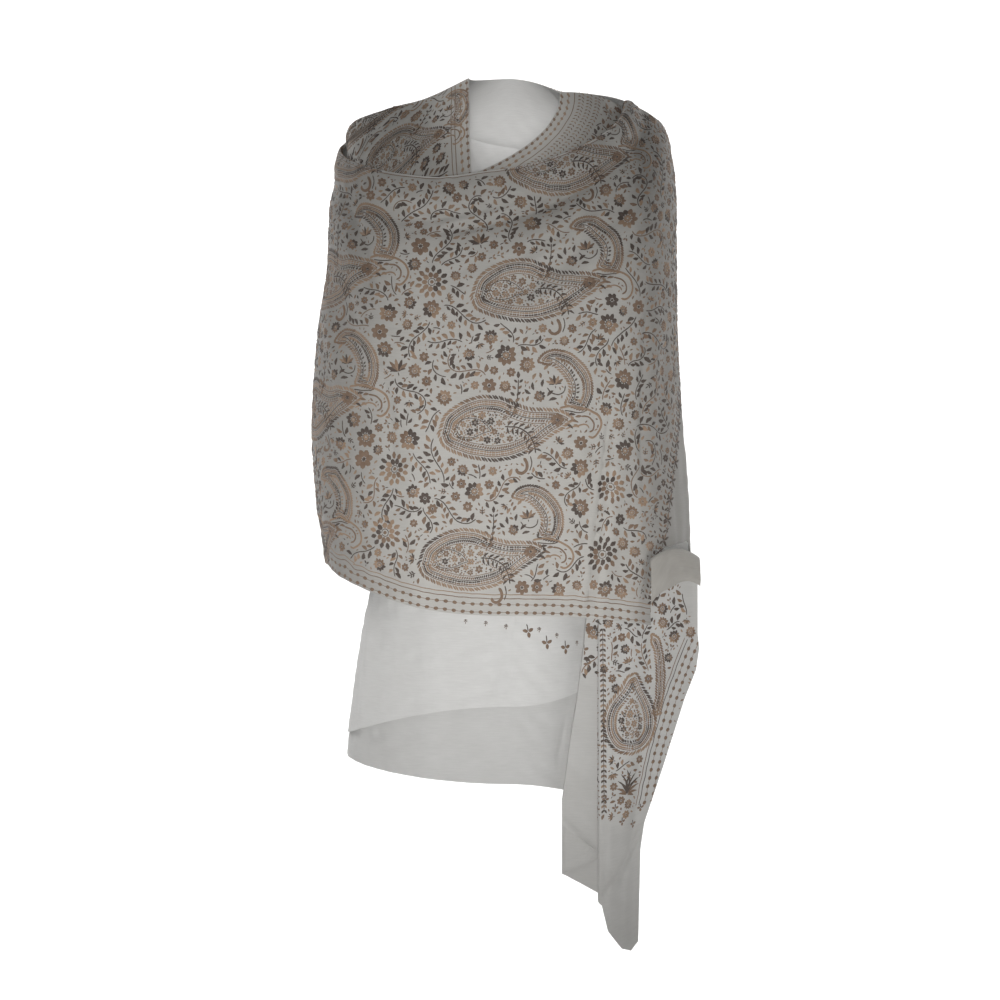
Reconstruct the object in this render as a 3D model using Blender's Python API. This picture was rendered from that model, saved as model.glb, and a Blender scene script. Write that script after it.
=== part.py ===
"""Embroidered stole worn draped on an upright figure, as thin cloth walls.

Metres, +Z up.  The wearer faces -Y.  The origin is the point between the
wearer's two shoulders at the height where the cloth rests on them.  "Left" and
"right" in the names of pieces are the wearer's own; in the tables, left means
-X and right means +X as seen from the front.
"""
import math
from collections import namedtuple

import bpy
import numpy as np

# ------------------------------------------------------------ driving sizes
CLOTH = 0.0020          # thickness of the built wall
FRONT = -90.0           # bearings in degrees: front, +X side, back, -X side
SIDE_SEAM = -46.0       # bearing where the front meets the wearer's left side
SEAM_TURN = 0.08        # half of that seam's gap, about 0.3 mm, in degrees of bearing
WRAP_END = -232.0       # bearing where the front's free end stops on the back
PROBE = 1e-4            # step of the numeric slopes, in each direction
SIDE_START = .12        # bearings either side of the seams between front and back
SIDE_END = 179.88
FLATTEN = .45           # folds stand out mostly to front and back, less to the sides
HEM_WAVE = .0022        # depth of the front hem's even ripple
HEM_RIPPLES = 9         # ripples in a full turn
HEM_WAVE_FROM = .45     # "down" where the ripple starts, to grow to the hem
HEM_WAVE_CALM = 8       # degrees each side of the seam that stay free of it,
HEM_WAVE_BLEND = 20     # and those over which it then grows
CLIMB_POWER = 1.4       # how a ring climbs from its lowest point to its sides
CLIMB_SOFT = .4         # how softly it levels past them
FOLD_RUN_OUT = .15      # share of a front fold's length by which it runs past its ends,
FOLD_FADE = .35         # and the share over which it fades
FOLD_DEPTH = .045       # front folds fade out over this distance in front of y 0,
FOLD_EDGE = .004        # counted from here
BACK_FOLD_SPREAD = 3    # degrees by which a back fold widens towards the hem

# --------------------------------------------------------------- ring tables
# A stretch of worn cloth is lofted through rings.  "down" runs along the cloth
# from its top ring to its hem, left/right/front/back are the ring's reaches,
# low_at is the bearing where the ring hangs lowest, ease goes from a steady
# climb (0) to an S-shaped one (1), and square is the ring's superellipse power.
Ring = namedtuple("Ring", "name down centre left right front back "
                          "z_left z_low z_right low_at ease square")

FRONT_RINGS = (
    Ring("tucked edge", 0.000, 0, .2235, .150, .1015, .115, -.0470, -.1010, .018, -110, 0.0, 2.4),
    Ring("roll crown",  0.018, 0, .2250, .153, .1065, .119, -.0375, -.0905, .026, -110, 0.0, 2.4),
    Ring("roll brow",   0.036, 0, .2280, .159, .1140, .123, -.0440, -.0970, .026, -110, 0.0, 2.4),
    Ring("roll belly",  0.075, 0, .2320, .168, .1215, .127, -.0600, -.1230, .020, -108, 0.0, 2.4),
    Ring("roll foot",   0.118, 0, .2325, .176, .1130, .129, -.0850, -.1480, .012, -106, 0.0, 2.4),
    Ring("upper chest", 0.165, 0, .2380, .189, .1250, .133, -.1100, -.1780, .005, -104, 0.0, 2.5),
    Ring("chest",       0.230, 0, .2395, .206, .1330, .137, -.1500, -.2180, -.012, -102, 0.1, 2.6),
    Ring("bust",        0.310, 0, .2420, .2175, .1410, .140, -.1980, -.2650, -.070, -100, 0.2, 2.6),
    Ring("ribs",        0.430, 0, .2525, .2195, .1480, .143, -.2700, -.3400, -.180, -96, 0.4, 2.6),
    Ring("waist",       0.570, 0, .2595, .2215, .1530, .145, -.3600, -.4250, -.300, -92, 0.6, 2.6),
    Ring("elbow",       0.700, 0, .2605, .2285, .1560, .146, -.4350, -.4980, -.420, -90, 0.8, 2.6),
    Ring("hip",         0.830, 0, .2540, .2360, .1580, .147, -.5080, -.5650, -.530, -90, 0.9, 2.6),
    Ring("hem",         1.000, 0, .2430, .2380, .1580, .148, -.5870, -.6510, -.680, -90, 1.0, 2.6),
)
BACK_RINGS = (
    Ring("neck edge",   0.000, 0, .0545, .0665, .000, .070, .0560, .0680, .0376, 90, 0.6, 2.2),
    Ring("collar",      0.060, 0, .1090, .1050, .000, .088, .0300, .0350, .0350, 90, 0.2, 2.2),
    Ring("yoke",        0.130, 0, .1680, .1530, .000, .101, .0135, -.0050, .0250, 90, 0.1, 2.3),
    Ring("shoulder",    0.200, 0, .2140, .2010, .000, .111, -.0090, -.0500, -.0050, 90, 0.0, 2.4),
    Ring("arm top",     0.270, 0, .2170, .2155, .000, .118, -.0500, -.1000, -.0500, 90, 0.0, 2.5),
    Ring("chest",       0.380, 0, .2270, .2185, .000, .124, -.1350, -.1800, -.1300, 90, 0.0, 2.6),
    Ring("ribs",        0.540, 0, .2390, .2190, .000, .128, -.2600, -.2950, -.2500, 90, 0.0, 2.6),
    Ring("waist",       0.690, 0, .2460, .2250, .000, .130, -.3750, -.4000, -.3650, 90, 0.0, 2.6),
    Ring("hip",         0.840, 0, .2420, .2360, .000, .132, -.4850, -.5050, -.4800, 90, 0.0, 2.6),
    Ring("hem",         1.000, 0, .2320, .2400, .000, .134, -.5900, -.6180, -.6250, 90, 0.0, 2.6),
)
RIGHT_FALL_RINGS = (
    Ring("neck edge",   0.000, -.047, .0545, 0, .0860, 0, .0560, -.1050, 0, -90, 0.0, 2.2),
    Ring("slope",       0.270, -.046, .1090, 0, .0900, 0, .0300, -.1130, 0, -90, 0.0, 2.2),
    Ring("cap",         0.560, -.045, .1680, 0, .0930, 0, .0135, -.1220, 0, -90, 0.0, 2.3),
    Ring("shoulder",    0.800, -.044, .2140, 0, .0935, 0, -.0090, -.1320, 0, -90, 0.0, 2.4),
    Ring("arm",         1.000, -.043, .2125, 0, .0930, 0, -.0500, -.1440, 0, -90, 0.0, 2.4),
)
LEFT_FLAP_RINGS = (
    Ring("neck edge",   0.000, -.052, 0, .0665, .0880, 0, 0, -.0850, .0376, -90, 0.0, 1.7),
    Ring("first fold",  0.300, -.050, 0, .0900, .0940, 0, 0, -.0970, .0370, -90, 0.0, 1.8),
    Ring("hollow",      0.550, -.044, 0, .1150, .0910, 0, 0, -.1060, .0330, -90, 0.0, 2.1),
    Ring("tuck",        1.000, -.034, 0, .1480, .0965, 0, 0, -.1180, .0190, -90, 0.0, 2.5),
)
UNDER_UPPER_RINGS = (
    Ring("top",         0.000, 0, .1790, .120, .1310, .100, -.5950, -.5950, -.5950, -90, 0.0, 2.2),
    Ring("middle",      0.500, 0, .1990, .120, .1315, .100, -.7000, -.6850, -.6800, -90, 0.0, 2.2),
    Ring("lower edge",  1.000, 0, .2150, .120, .1320, .100, -.8120, -.7680, -.7350, -90, 1.0, 2.2),
)
UNDER_LOWER_RINGS = (
    Ring("top",         0.000, 0, .1930, .113, .1180, .090, -.7000, -.6900, -.6900, -90, 0.0, 2.2),
    Ring("middle",      0.500, 0, .2080, .113, .1185, .090, -.7800, -.7800, -.7850, -90, 0.0, 2.2),
    Ring("lower edge",  1.000, 0, .2160, .113, .1190, .090, -.8400, -.8680, -.9000, -90, 0.5, 2.2),
)
NECK_PLY_RINGS = (
    Ring("upper edge",  0.000, 0, .0800, .050, .0660, 0, -.0030, -.0465, -.0800, -90, 0.0, 2.0),
    Ring("tucked end",  1.000, 0, .0800, .050, .0720, 0, -.1000, -.1200, -.1300, -90, 0.0, 2.0),
)

# ------------------------------------------------------------- fold tables
# A crease or ridge runs from (x0, z0) to (x1, z1) seen from the front, bowed
# sideways by "bow" at its middle; "out" is how far its crest stands proud.
Fold = namedtuple("Fold", "name x0 z0 x1 z1 bow width out")
FRONT_FOLDS = (
    Fold("shoulder pull",   .150, -.060, -.020, -.200, -.012, .016, .0060),
    Fold("shoulder hollow", .165, -.095, .020, -.235, -.012, .014, -.0045),
    Fold("long pull",       .190, -.090, .080, -.330, -.015, .020, .0050),
    Fold("arm fold",       -.222, -.150, -.165, -.360, -.010, .019, .0070),
    Fold("arm hollow",     -.190, -.170, -.127, -.360, -.010, .018, -.0040),
    Fold("elbow fold",     -.235, -.380, -.160, -.560, .008, .018, .0045),
    Fold("middle fall",    -.040, -.330, -.020, -.640, .006, .022, .0040),
    Fold("right fall",      .180, -.230, .172, -.600, -.004, .016, .0045),
    Fold("tuck hollow",     .115, -.390, .084, -.655, .000, .014, -.0045),
    Fold("tuck edge",       .141, -.390, .111, -.655, .000, .014, .0050),
)
# A soft fold of the back hangs at one bearing and deepens towards the hem.
BackFold = namedtuple("BackFold", "name bearing lean width out starts")
BACK_FOLDS = (
    BackFold("right fall",           116, -4, 5.0, .0090, .20),
    BackFold("right hollow",         104, 0, 5.0, -.0080, .25),
    BackFold("centre right",         93, 2, 5.0, .0120, .20),
    BackFold("centre hollow",        80, 3, 5.5, -.0090, .25),
    BackFold("centre left",          67, 6, 5.0, .0120, .15),
    BackFold("left hollow",          53, 8, 5.0, -.0080, .20),
    BackFold("left shoulder blade",  38, 12, 5.5, .0110, .05),
    BackFold("left side",            18, 8, 4.5, .0050, .30),
)

# -------------------------------------------------- hanging end, cuff, plies
# The hanging end's outer edge leans in as it falls: reach is its x there.
Edge = namedtuple("Edge", "z reach")
END_OUTER = (
    Edge(-.600, .242), Edge(-.677, .242), Edge(-.696, .244), Edge(-.724, .240),
    Edge(-.762, .224), Edge(-.840, .198), Edge(-.917, .171), Edge(-.949, .166),
    Edge(-1.071, .163),
)
END_TOP = -.598         # inside the cuff
END_TOP_BEHIND = -.634  # behind the front panel's hem
END_FOLD_X = .1160      # the inner fold, where the ply turns back on itself
END_FOLD_Y = -.1370
END_TURN = .0045        # radius of that turn
END_TURNED_U = 1.12     # u where the turn is complete, and where the ply ends
END_LAST_U = 1.4
END_RETURN = .040       # how far the turned-back ply runs on behind
END_REACH = .120        # from the fold to the outer edge at the wrist
END_OUT_Y = .050        # how much further back the outer edge hangs
# Its lower edge: u is 0 at the outer edge, 1 at the inner fold, more behind it.
Hem = namedtuple("Hem", "u z")
END_HEM = (
    Hem(0, -1.068), Hem(.20, -1.080), Hem(.45, -1.076), Hem(.84, -1.052),
    Hem(1, -1.020), Hem(END_LAST_U, -.980),
)
END_SWAY = .0035        # depth of the end's two long soft folds

PLEAT_OUTER = (
    Edge(-.630, .099), Edge(-.685, .0945), Edge(-.757, .0855),
    Edge(-.812, .0765), Edge(-.889, .0665), Edge(-.985, .0665),
)
PLEAT_TOP = -.630
PLEAT_INNER_X = .1200   # the pleats' hidden side, behind the hanging end
PLEAT_FRONT_Y = -.1210
PLEAT_PITCH = .0072     # from one ply to the next, front to back
PLEAT_TURN = .12        # share of a ply's width taken by each turn, on either side
# Where the lower edge of the sloping hem is at each turn of the zigzag.
PLEAT_HEMS = (-.920, -.961, -.984, -1.013)

CUFF_X0 = .1780
CUFF_X1 = .2440
CUFF_CREST_Z = -.5795
CUFF_RADIUS = .0190     # of the roll over the wrist; tighter at its inner end
CUFF_TIGHT = .0062
CUFF_FRONT_Y = -.1430
CUFF_FRONT_DROP = .0170
CUFF_INNER_DROP = .0340   # the cuff hangs this much lower at its inner end
CUFF_BACK_DROP = .0060
CUFF_BULGE = .0050
CUFF_FOOT = .14         # share of the way round where the roll over the wrist starts
CUFF_BROW = .62         # and where it ends
CUFF_ARCH = .0120
CUFF_TILT = .0420       # the outer side of the cuff lies this much further back

ARM_SIDE_BOTTOM = 0.86  # "down" of the left side's lower edge, behind the cuff
ARM_SIDE_DROP_FROM = -16.0  # from this bearing on, that edge drops to the back's
ARM_SIDE_DROP = 0.55        # how far, as a share of the way to the hem ring

# ------------------------------------------------------------------ colours
Finish = namedtuple("Finish", "colour roughness")
EMBROIDERED = Finish((0.33, 0.29, 0.26), 0.85)
PLAIN = Finish((0.55, 0.53, 0.51), 0.80)


# ------------------------------------------------------------------- helpers
def spline(at, knots, values):
    """Smooth curve through (knots, values), read at every entry of `at`."""
    knots = np.asarray(knots, float)
    values = np.asarray(values, float)
    slope = np.gradient(values, knots) if len(knots) > 2 else \
        np.full(len(knots), (values[-1] - values[0]) / (knots[-1] - knots[0]))
    at = np.asarray(at, float)
    cell = np.clip(np.searchsorted(knots, at, side="right") - 1, 0, len(knots) - 2)
    span = knots[cell + 1] - knots[cell]
    t = (at - knots[cell]) / span
    t2 = t * t
    t3 = t2 * t
    return ((2 * t3 - 3 * t2 + 1) * values[cell] + (t3 - 2 * t2 + t) * span * slope[cell]
            + (3 * t2 - 2 * t3) * values[cell + 1] + (t3 - t2) * span * slope[cell + 1])


def ease(t):
    """0 to 1 with level ends."""
    t = np.clip(t, 0.0, 1.0)
    return t * t * (3 - 2 * t)


def bump(distance, width):
    return np.exp(-(distance / width) ** 2)


def worn_surface(rings, bearing, down):
    """Points of the cloth lofted through `rings`."""
    col = {}
    for field in Ring._fields[2:]:
        col[field] = spline(down, [r.down for r in rings], [getattr(r, field) for r in rings])
    turn = np.radians(bearing)
    across = np.cos(turn)
    fore = np.sin(turn)
    power = 2.0 / col["square"]
    reach = np.where(across < 0, -(col["left"] + col["centre"]), col["right"] - col["centre"])
    depth = np.where(fore < 0, -col["front"], col["back"])
    x = col["centre"] + reach * np.abs(across) ** power
    y = depth * np.abs(fore) ** power
    low = col["low_at"]
    to_left = bearing < low if rings[0].low_at < 0 else bearing > low
    side_gap = np.where(to_left, 180 - np.abs(low), np.abs(low))
    away = np.abs(bearing - low) / side_gap
    away = np.where(away > 1, 1 + CLIMB_SOFT * np.tanh((away - 1) / CLIMB_SOFT), away)
    climb = (1 - col["ease"]) * away ** CLIMB_POWER + col["ease"] * ease(away)
    side = np.where(to_left, col["z_left"], col["z_right"])
    z = col["z_low"] + (side - col["z_low"]) * climb
    return np.stack((x, y, z), axis=-1)


def fold_height(folds, points):
    """How far the front's folds stand out at each of `points`."""
    x = points[..., 0]
    z = points[..., 2]
    total = np.zeros_like(x)
    for f in folds:
        run = np.array((f.x1 - f.x0, f.z1 - f.z0))
        length = np.hypot(*run)
        along = ((x - f.x0) * run[0] + (z - f.z0) * run[1]) / length ** 2
        side = ((x - f.x0) * run[1] - (z - f.z0) * run[0]) / length
        side = side - f.bow * 4 * along * (1 - along)
        fade = ease((along + FOLD_RUN_OUT) / FOLD_FADE) * ease((1 + FOLD_RUN_OUT - along) / FOLD_FADE)
        total += f.out * bump(side, f.width) * fade
    return total * ease((-points[..., 1] - FOLD_EDGE) / FOLD_DEPTH)


def normals(surface, u, v):
    du = surface(u + PROBE, v) - surface(u - PROBE, v)
    dv = surface(u, v + PROBE) - surface(u, v - PROBE)
    n = np.cross(du, dv)
    return n / np.maximum(np.linalg.norm(n, axis=-1, keepdims=True), 1e-12)


def grid_normals(points):
    n = np.cross(np.gradient(points, axis=0), np.gradient(points, axis=1))
    return n / np.maximum(np.linalg.norm(n, axis=-1, keepdims=True), 1e-12)


def front_cloth(u, v):
    """Front stretch; u is the bearing / 100, v the way down."""
    bearing = u * 100
    base = worn_surface(FRONT_RINGS, bearing, v)
    wave = HEM_WAVE * np.sin(np.radians(bearing * HEM_RIPPLES))
    wave = wave * ease((v - HEM_WAVE_FROM) / (1 - HEM_WAVE_FROM))
    wave = wave * ease((np.abs(bearing) - HEM_WAVE_CALM) / HEM_WAVE_BLEND)
    return base + outward(base) * (fold_height(FRONT_FOLDS, base) + wave)[..., None]


def arm_side_cloth(u, v):
    """The front cloth goes on round the arm; its hem drops to the back's hem."""
    reach = ease((u - ARM_SIDE_DROP_FROM / 100) / (-ARM_SIDE_DROP_FROM / 100))
    return front_cloth(u, v * (1 + (1 / ARM_SIDE_BOTTOM - 1) * ARM_SIDE_DROP * reach))


def outward(points):
    """Level direction away from the wearer's middle line."""
    away = points * np.array((FLATTEN, 1, 0))
    return away / np.maximum(np.linalg.norm(away, axis=-1, keepdims=True), 1e-9)


def back_cloth(u, v):
    bearing = u * 100
    base = worn_surface(BACK_RINGS, bearing, v)
    rise = np.zeros_like(v)
    for f in BACK_FOLDS:
        centre = f.bearing + f.lean * (v - 1)
        width = f.width + BACK_FOLD_SPREAD * v
        rise += f.out * bump(bearing - centre, width) * ease((v - f.starts) / (1 - f.starts))
    return base + outward(base) * rise[..., None]


def ring_cloth(rings):
    def surface(u, v):
        return worn_surface(rings, u * 100, v)
    return surface


def edge_at(table, z):
    order = sorted(table, key=lambda e: e.z)
    return np.interp(z, [e.z for e in order], [e.reach for e in order])


def end_cloth(u, v):
    """Hanging end; u is 0 at its outer edge, 1 at the fold, END_LAST_U behind it."""
    z_bottom = np.interp(u, [h.u for h in END_HEM], [h.z for h in END_HEM])
    z_top = np.interp(u, (.36, .46), (END_TOP, END_TOP_BEHIND))
    z = z_top + (z_bottom - z_top) * v
    outer = edge_at(END_OUTER, z)
    ply = np.clip(u, 0, 1)
    turn = np.clip((u - 1) / (END_TURNED_U - 1), 0, 1) * math.pi
    behind = np.clip((u - END_TURNED_U) / (END_LAST_U - END_TURNED_U), 0, 1)
    x = outer + (END_FOLD_X - outer) * ply - END_TURN * np.sin(turn) + END_RETURN * behind
    back = ((x - END_FOLD_X) / END_REACH).clip(0, 1) ** 1.3 * END_OUT_Y
    sway = END_SWAY * np.sin(ply * 2 * math.pi) * ease(v / .4)
    y = END_FOLD_Y + back + END_TURN * (1 - np.cos(turn)) + sway
    return np.stack((x, y, z), axis=-1)


def pleat_cloth(u, v):
    """Plain zigzag of three plies; u runs 0 to 3, one for each ply."""
    ply = np.clip(np.floor(u), 0, 2).astype(int)
    t = u - ply
    hems = np.array(PLEAT_HEMS)
    z_bottom = hems[ply] + (hems[ply + 1] - hems[ply]) * t
    z = PLEAT_TOP + (z_bottom - PLEAT_TOP) * v
    outer = edge_at(PLEAT_OUTER, z)
    to_right = np.where(ply == 1, 1 - t, t)
    x = outer + (PLEAT_INNER_X - outer) * to_right
    whole = 2 * PLEAT_TURN
    level = ease((u - 1 + PLEAT_TURN) / whole) + ease((u - 2 + PLEAT_TURN) / whole)
    return np.stack((x, PLEAT_FRONT_Y + PLEAT_PITCH * level, z), axis=-1)


def cuff_cloth(u, v):
    """Turned-over cuff; u runs along it, v from its back foot to its front edge."""
    lift = CUFF_ARCH * (1 - (2 * u - 1) ** 2)
    radius = CUFF_TIGHT + (CUFF_RADIUS - CUFF_TIGHT) * ease(u / .45)
    front_drop = CUFF_FRONT_DROP + CUFF_INNER_DROP * np.maximum(1 - u, 0) ** 2
    climb = CUFF_BACK_DROP * np.clip(v / CUFF_FOOT, 0, 1)
    bend = math.pi * np.clip((v - CUFF_FOOT) / (CUFF_BROW - CUFF_FOOT), 0, 1)
    fallen = np.clip((v - CUFF_BROW) / (1 - CUFF_BROW), 0, 1)
    x = CUFF_X0 + (CUFF_X1 - CUFF_X0) * u
    y = CUFF_FRONT_Y + radius * (1 + np.cos(bend)) + CUFF_TILT * np.maximum(u, 0) ** 1.5
    y = y - CUFF_BULGE * np.sin(fallen * math.pi)
    z = (CUFF_CREST_Z - radius - CUFF_BACK_DROP + climb + radius * np.sin(bend)
         - front_drop * fallen + lift)
    return np.stack((x, y, z), axis=-1)


# ---------------------------------------------------------------- wall maker
def make_material(name, finish):
    material = bpy.data.materials.get(name) or bpy.data.materials.new(name)
    material.use_nodes = True
    shader = material.node_tree.nodes["Principled BSDF"]
    shader.inputs["Base Color"].default_value = (*finish.colour, 1.0)
    shader.inputs["Roughness"].default_value = finish.roughness
    material.diffuse_color = (*finish.colour, 1.0)
    return material


def wall(name, surface, across, down, material, level_ends=(), seam_ends=()):
    """Closed cloth wall around `surface`, on the grid across x down.

    level_ends and seam_ends hold 0 and/or -1 for end columns.  A level end keeps
    its rim square to Y; a seam end takes the true slope, as its neighbour does.
    """
    u, v = np.meshgrid(across, down, indexing="ij")
    middle = surface(u, v)
    n = grid_normals(middle)
    true = normals(surface, u, v)
    flip = np.sign(np.sum(n * true))
    for end in seam_ends:
        n[end] = true[end] * flip
    for end in level_ends:
        n[end, :, 1] = 0
        n[end] /= np.linalg.norm(n[end], axis=-1, keepdims=True)
    outer = middle + n * CLOTH / 2
    inner = middle - n * CLOTH / 2
    rows, cols = u.shape
    verts = np.concatenate((outer.reshape(-1, 3), inner.reshape(-1, 3)))
    index = np.arange(rows * cols).reshape(rows, cols)
    back = index + rows * cols
    faces = []
    for i in range(rows - 1):
        for j in range(cols - 1):
            a, b, c, d = index[i, j], index[i + 1, j], index[i + 1, j + 1], index[i, j + 1]
            faces.append((a, b, c, d))
            a, b, c, d = back[i, j], back[i + 1, j], back[i + 1, j + 1], back[i, j + 1]
            faces.append((d, c, b, a))
    rim = [(i, 0) for i in range(rows)]
    rim += [(rows - 1, j) for j in range(1, cols)]
    rim += [(i, cols - 1) for i in range(rows - 2, -1, -1)]
    rim += [(0, j) for j in range(cols - 2, 0, -1)]
    for k, here in enumerate(rim):
        there = rim[(k + 1) % len(rim)]
        faces.append((index[there], index[here], back[here], back[there]))
    mesh = bpy.data.meshes.new(name)
    mesh.from_pydata(verts.tolist(), [], [tuple(int(k) for k in f) for f in faces])
    if signed_volume(mesh) < 0:
        mesh.flip_normals()
    mesh.materials.append(material)
    mesh.shade_smooth()
    mesh.set_sharp_from_angle(angle=math.radians(50))
    piece = bpy.data.objects.new(name, mesh)
    bpy.context.collection.objects.link(piece)
    return piece


def signed_volume(mesh):
    mesh.calc_loop_triangles()
    total = 0.0
    for tri in mesh.loop_triangles:
        a, b, c = (mesh.vertices[i].co for i in tri.vertices)
        total += a.dot(b.cross(c))
    return total / 6


def span(start, end, count):
    return np.linspace(start, end, count)


def uneven(*parts):
    """Joined spans, each (start, end, cells), with shared ends kept once."""
    joined = [np.array([parts[0][0]])]
    for start, end, cells in parts:
        joined.append(np.linspace(start, end, cells + 1)[1:])
    return np.concatenate(joined)


# ------------------------------------------------------------------- pieces
def build():
    embroidered = make_material("embroidered_wool", EMBROIDERED)
    plain = make_material("plain_wool", PLAIN)

    rows = uneven((0, .036, 3), (.036, .118, 4), (.118, .165, 2), (.165, ARM_SIDE_BOTTOM, 15),
                  (ARM_SIDE_BOTTOM, 1, 3))
    side_rows = rows[:-3]
    wall("front_panel", front_cloth,
         uneven((WRAP_END / 100, -1.8, 8), (-1.8, -1.25, 12),
                (-1.25, (SIDE_SEAM - SEAM_TURN) / 100, 19)),
         rows, embroidered, seam_ends=(-1,))
    wall("left_arm_side", arm_side_cloth,
         span((SIDE_SEAM + SEAM_TURN) / 100, -SIDE_START / 100, 9), side_rows,
         embroidered, level_ends=(-1,), seam_ends=(0,))
    wall("back_panel", back_cloth, span(SIDE_START / 100, SIDE_END / 100, 47), span(0, 1, 18),
         plain, level_ends=(0, -1))
    wall("right_shoulder_fall", ring_cloth(RIGHT_FALL_RINGS),
         span(-SIDE_END / 100, -.92, 13), span(0, 1, 9), embroidered, level_ends=(0,))
    wall("left_shoulder_flap", ring_cloth(LEFT_FLAP_RINGS),
         span(-.84, -SIDE_START / 100, 13), span(0, 1, 9), embroidered, level_ends=(-1,))
    wall("neck_ply", ring_cloth(NECK_PLY_RINGS), span(-1.30, -.62, 7), span(0, 1, 5), plain)
    wall("under_upper", ring_cloth(UNDER_UPPER_RINGS), span(-1.95, -.30, 23), span(0, 1, 7), plain)
    wall("under_lower", ring_cloth(UNDER_LOWER_RINGS), span(-1.95, -.37, 23), span(0, 1, 6), plain)
    wall("hanging_end", end_cloth,
         uneven((0, 1, 9), (1, END_TURNED_U, 5), (END_TURNED_U, END_LAST_U, 2)),
         span(0, 1, 19), embroidered)
    wall("hanging_pleats", pleat_cloth,
         uneven((0, 1 - PLEAT_TURN, 3), (1 - PLEAT_TURN, 1 + PLEAT_TURN, 6),
                (1 + PLEAT_TURN, 2 - PLEAT_TURN, 3), (2 - PLEAT_TURN, 2 + PLEAT_TURN, 6),
                (2 + PLEAT_TURN, 3, 3)),
         span(0, 1, 12), plain)
    wall("wrist_cuff", cuff_cloth, span(0, 1, 10),
         uneven((0, CUFF_FOOT, 1), (CUFF_FOOT, CUFF_BROW, 8), (CUFF_BROW, 1, 5)), plain)


for old in list(bpy.data.objects):
    bpy.data.objects.remove(old, do_unlink=True)
build()
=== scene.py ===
"""Looks of an embroidered wool stole worn draped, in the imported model's frame.

Metres, +Z up.  The wearer faces -Y.  Every stretch of cloth is a thin shell on
its solid's own form, with finer creases; the needlework is raised thread laid on
those shells.  "Left" in tables means -X and "right" +X, as seen from the front.
"""
import math
from collections import namedtuple

import bpy
import numpy as np
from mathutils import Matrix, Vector


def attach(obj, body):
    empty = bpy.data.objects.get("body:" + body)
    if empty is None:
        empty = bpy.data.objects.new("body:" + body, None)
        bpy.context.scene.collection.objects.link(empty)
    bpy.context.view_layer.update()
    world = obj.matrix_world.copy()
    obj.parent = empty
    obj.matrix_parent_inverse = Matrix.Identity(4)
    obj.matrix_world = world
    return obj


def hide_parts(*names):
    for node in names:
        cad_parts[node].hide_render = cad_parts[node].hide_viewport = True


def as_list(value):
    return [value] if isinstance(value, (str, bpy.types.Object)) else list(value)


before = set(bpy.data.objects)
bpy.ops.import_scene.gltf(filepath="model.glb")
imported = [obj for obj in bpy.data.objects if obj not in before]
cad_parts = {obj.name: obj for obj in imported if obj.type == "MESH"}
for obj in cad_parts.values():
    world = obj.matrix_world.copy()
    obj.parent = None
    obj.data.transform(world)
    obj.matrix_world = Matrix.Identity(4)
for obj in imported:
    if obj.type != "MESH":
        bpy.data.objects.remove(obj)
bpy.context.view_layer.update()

# ---------------------------------------------------------------- cloth form
CLOTH = .0010           # thickness of the shown shell
FRONT = -90.0           # bearings in degrees: front, +X side, back, -X side
SIDE_SEAM = -46.0       # bearing where the front meets the wearer's left side
WRAP_END = -232.0       # bearing where the front's free end stops on the back
SIDE_START = .12        # bearings either side of the seams between front and back
SIDE_END = 179.88
FLATTEN = .45           # folds stand out mostly to front and back, less to the sides
HEM_WAVE = .0022        # depth of the front hem's even ripple
HEM_RIPPLES = 9         # ripples in a full turn
HEM_WAVE_FROM = .45     # "down" where the ripple starts, to grow to the hem
HEM_WAVE_CALM = 8       # degrees each side of the seam that stay free of it,
HEM_WAVE_BLEND = 20     # and those over which it then grows
CLIMB_POWER = 1.4       # how a ring climbs from its lowest point to its sides
CLIMB_SOFT = .4         # how softly it levels past them
FOLD_RUN_OUT = .15      # share of a front fold's length by which it runs past its ends,
FOLD_FADE = .35         # and the share over which it fades
FOLD_DEPTH = .045       # front folds fade out over this distance in front of y 0,
FOLD_EDGE = .004        # counted from here
BACK_FOLD_SPREAD = 3    # degrees by which a back fold widens towards the hem
TINY = 1e-12            # keeps a division away from zero

# The rings and folds are those of the solids.  A stretch is lofted through rings:
# "down" runs along the cloth from its top ring to its hem, left/right/front/back are
# the ring's reaches, low_at is the bearing where the ring hangs lowest, ease goes
# from a steady climb (0) to an S-shaped one (1), and square is the ring's
# superellipse power.
Ring = namedtuple("Ring", "name down centre left right front back "
                          "z_left z_low z_right low_at ease square")

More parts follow.
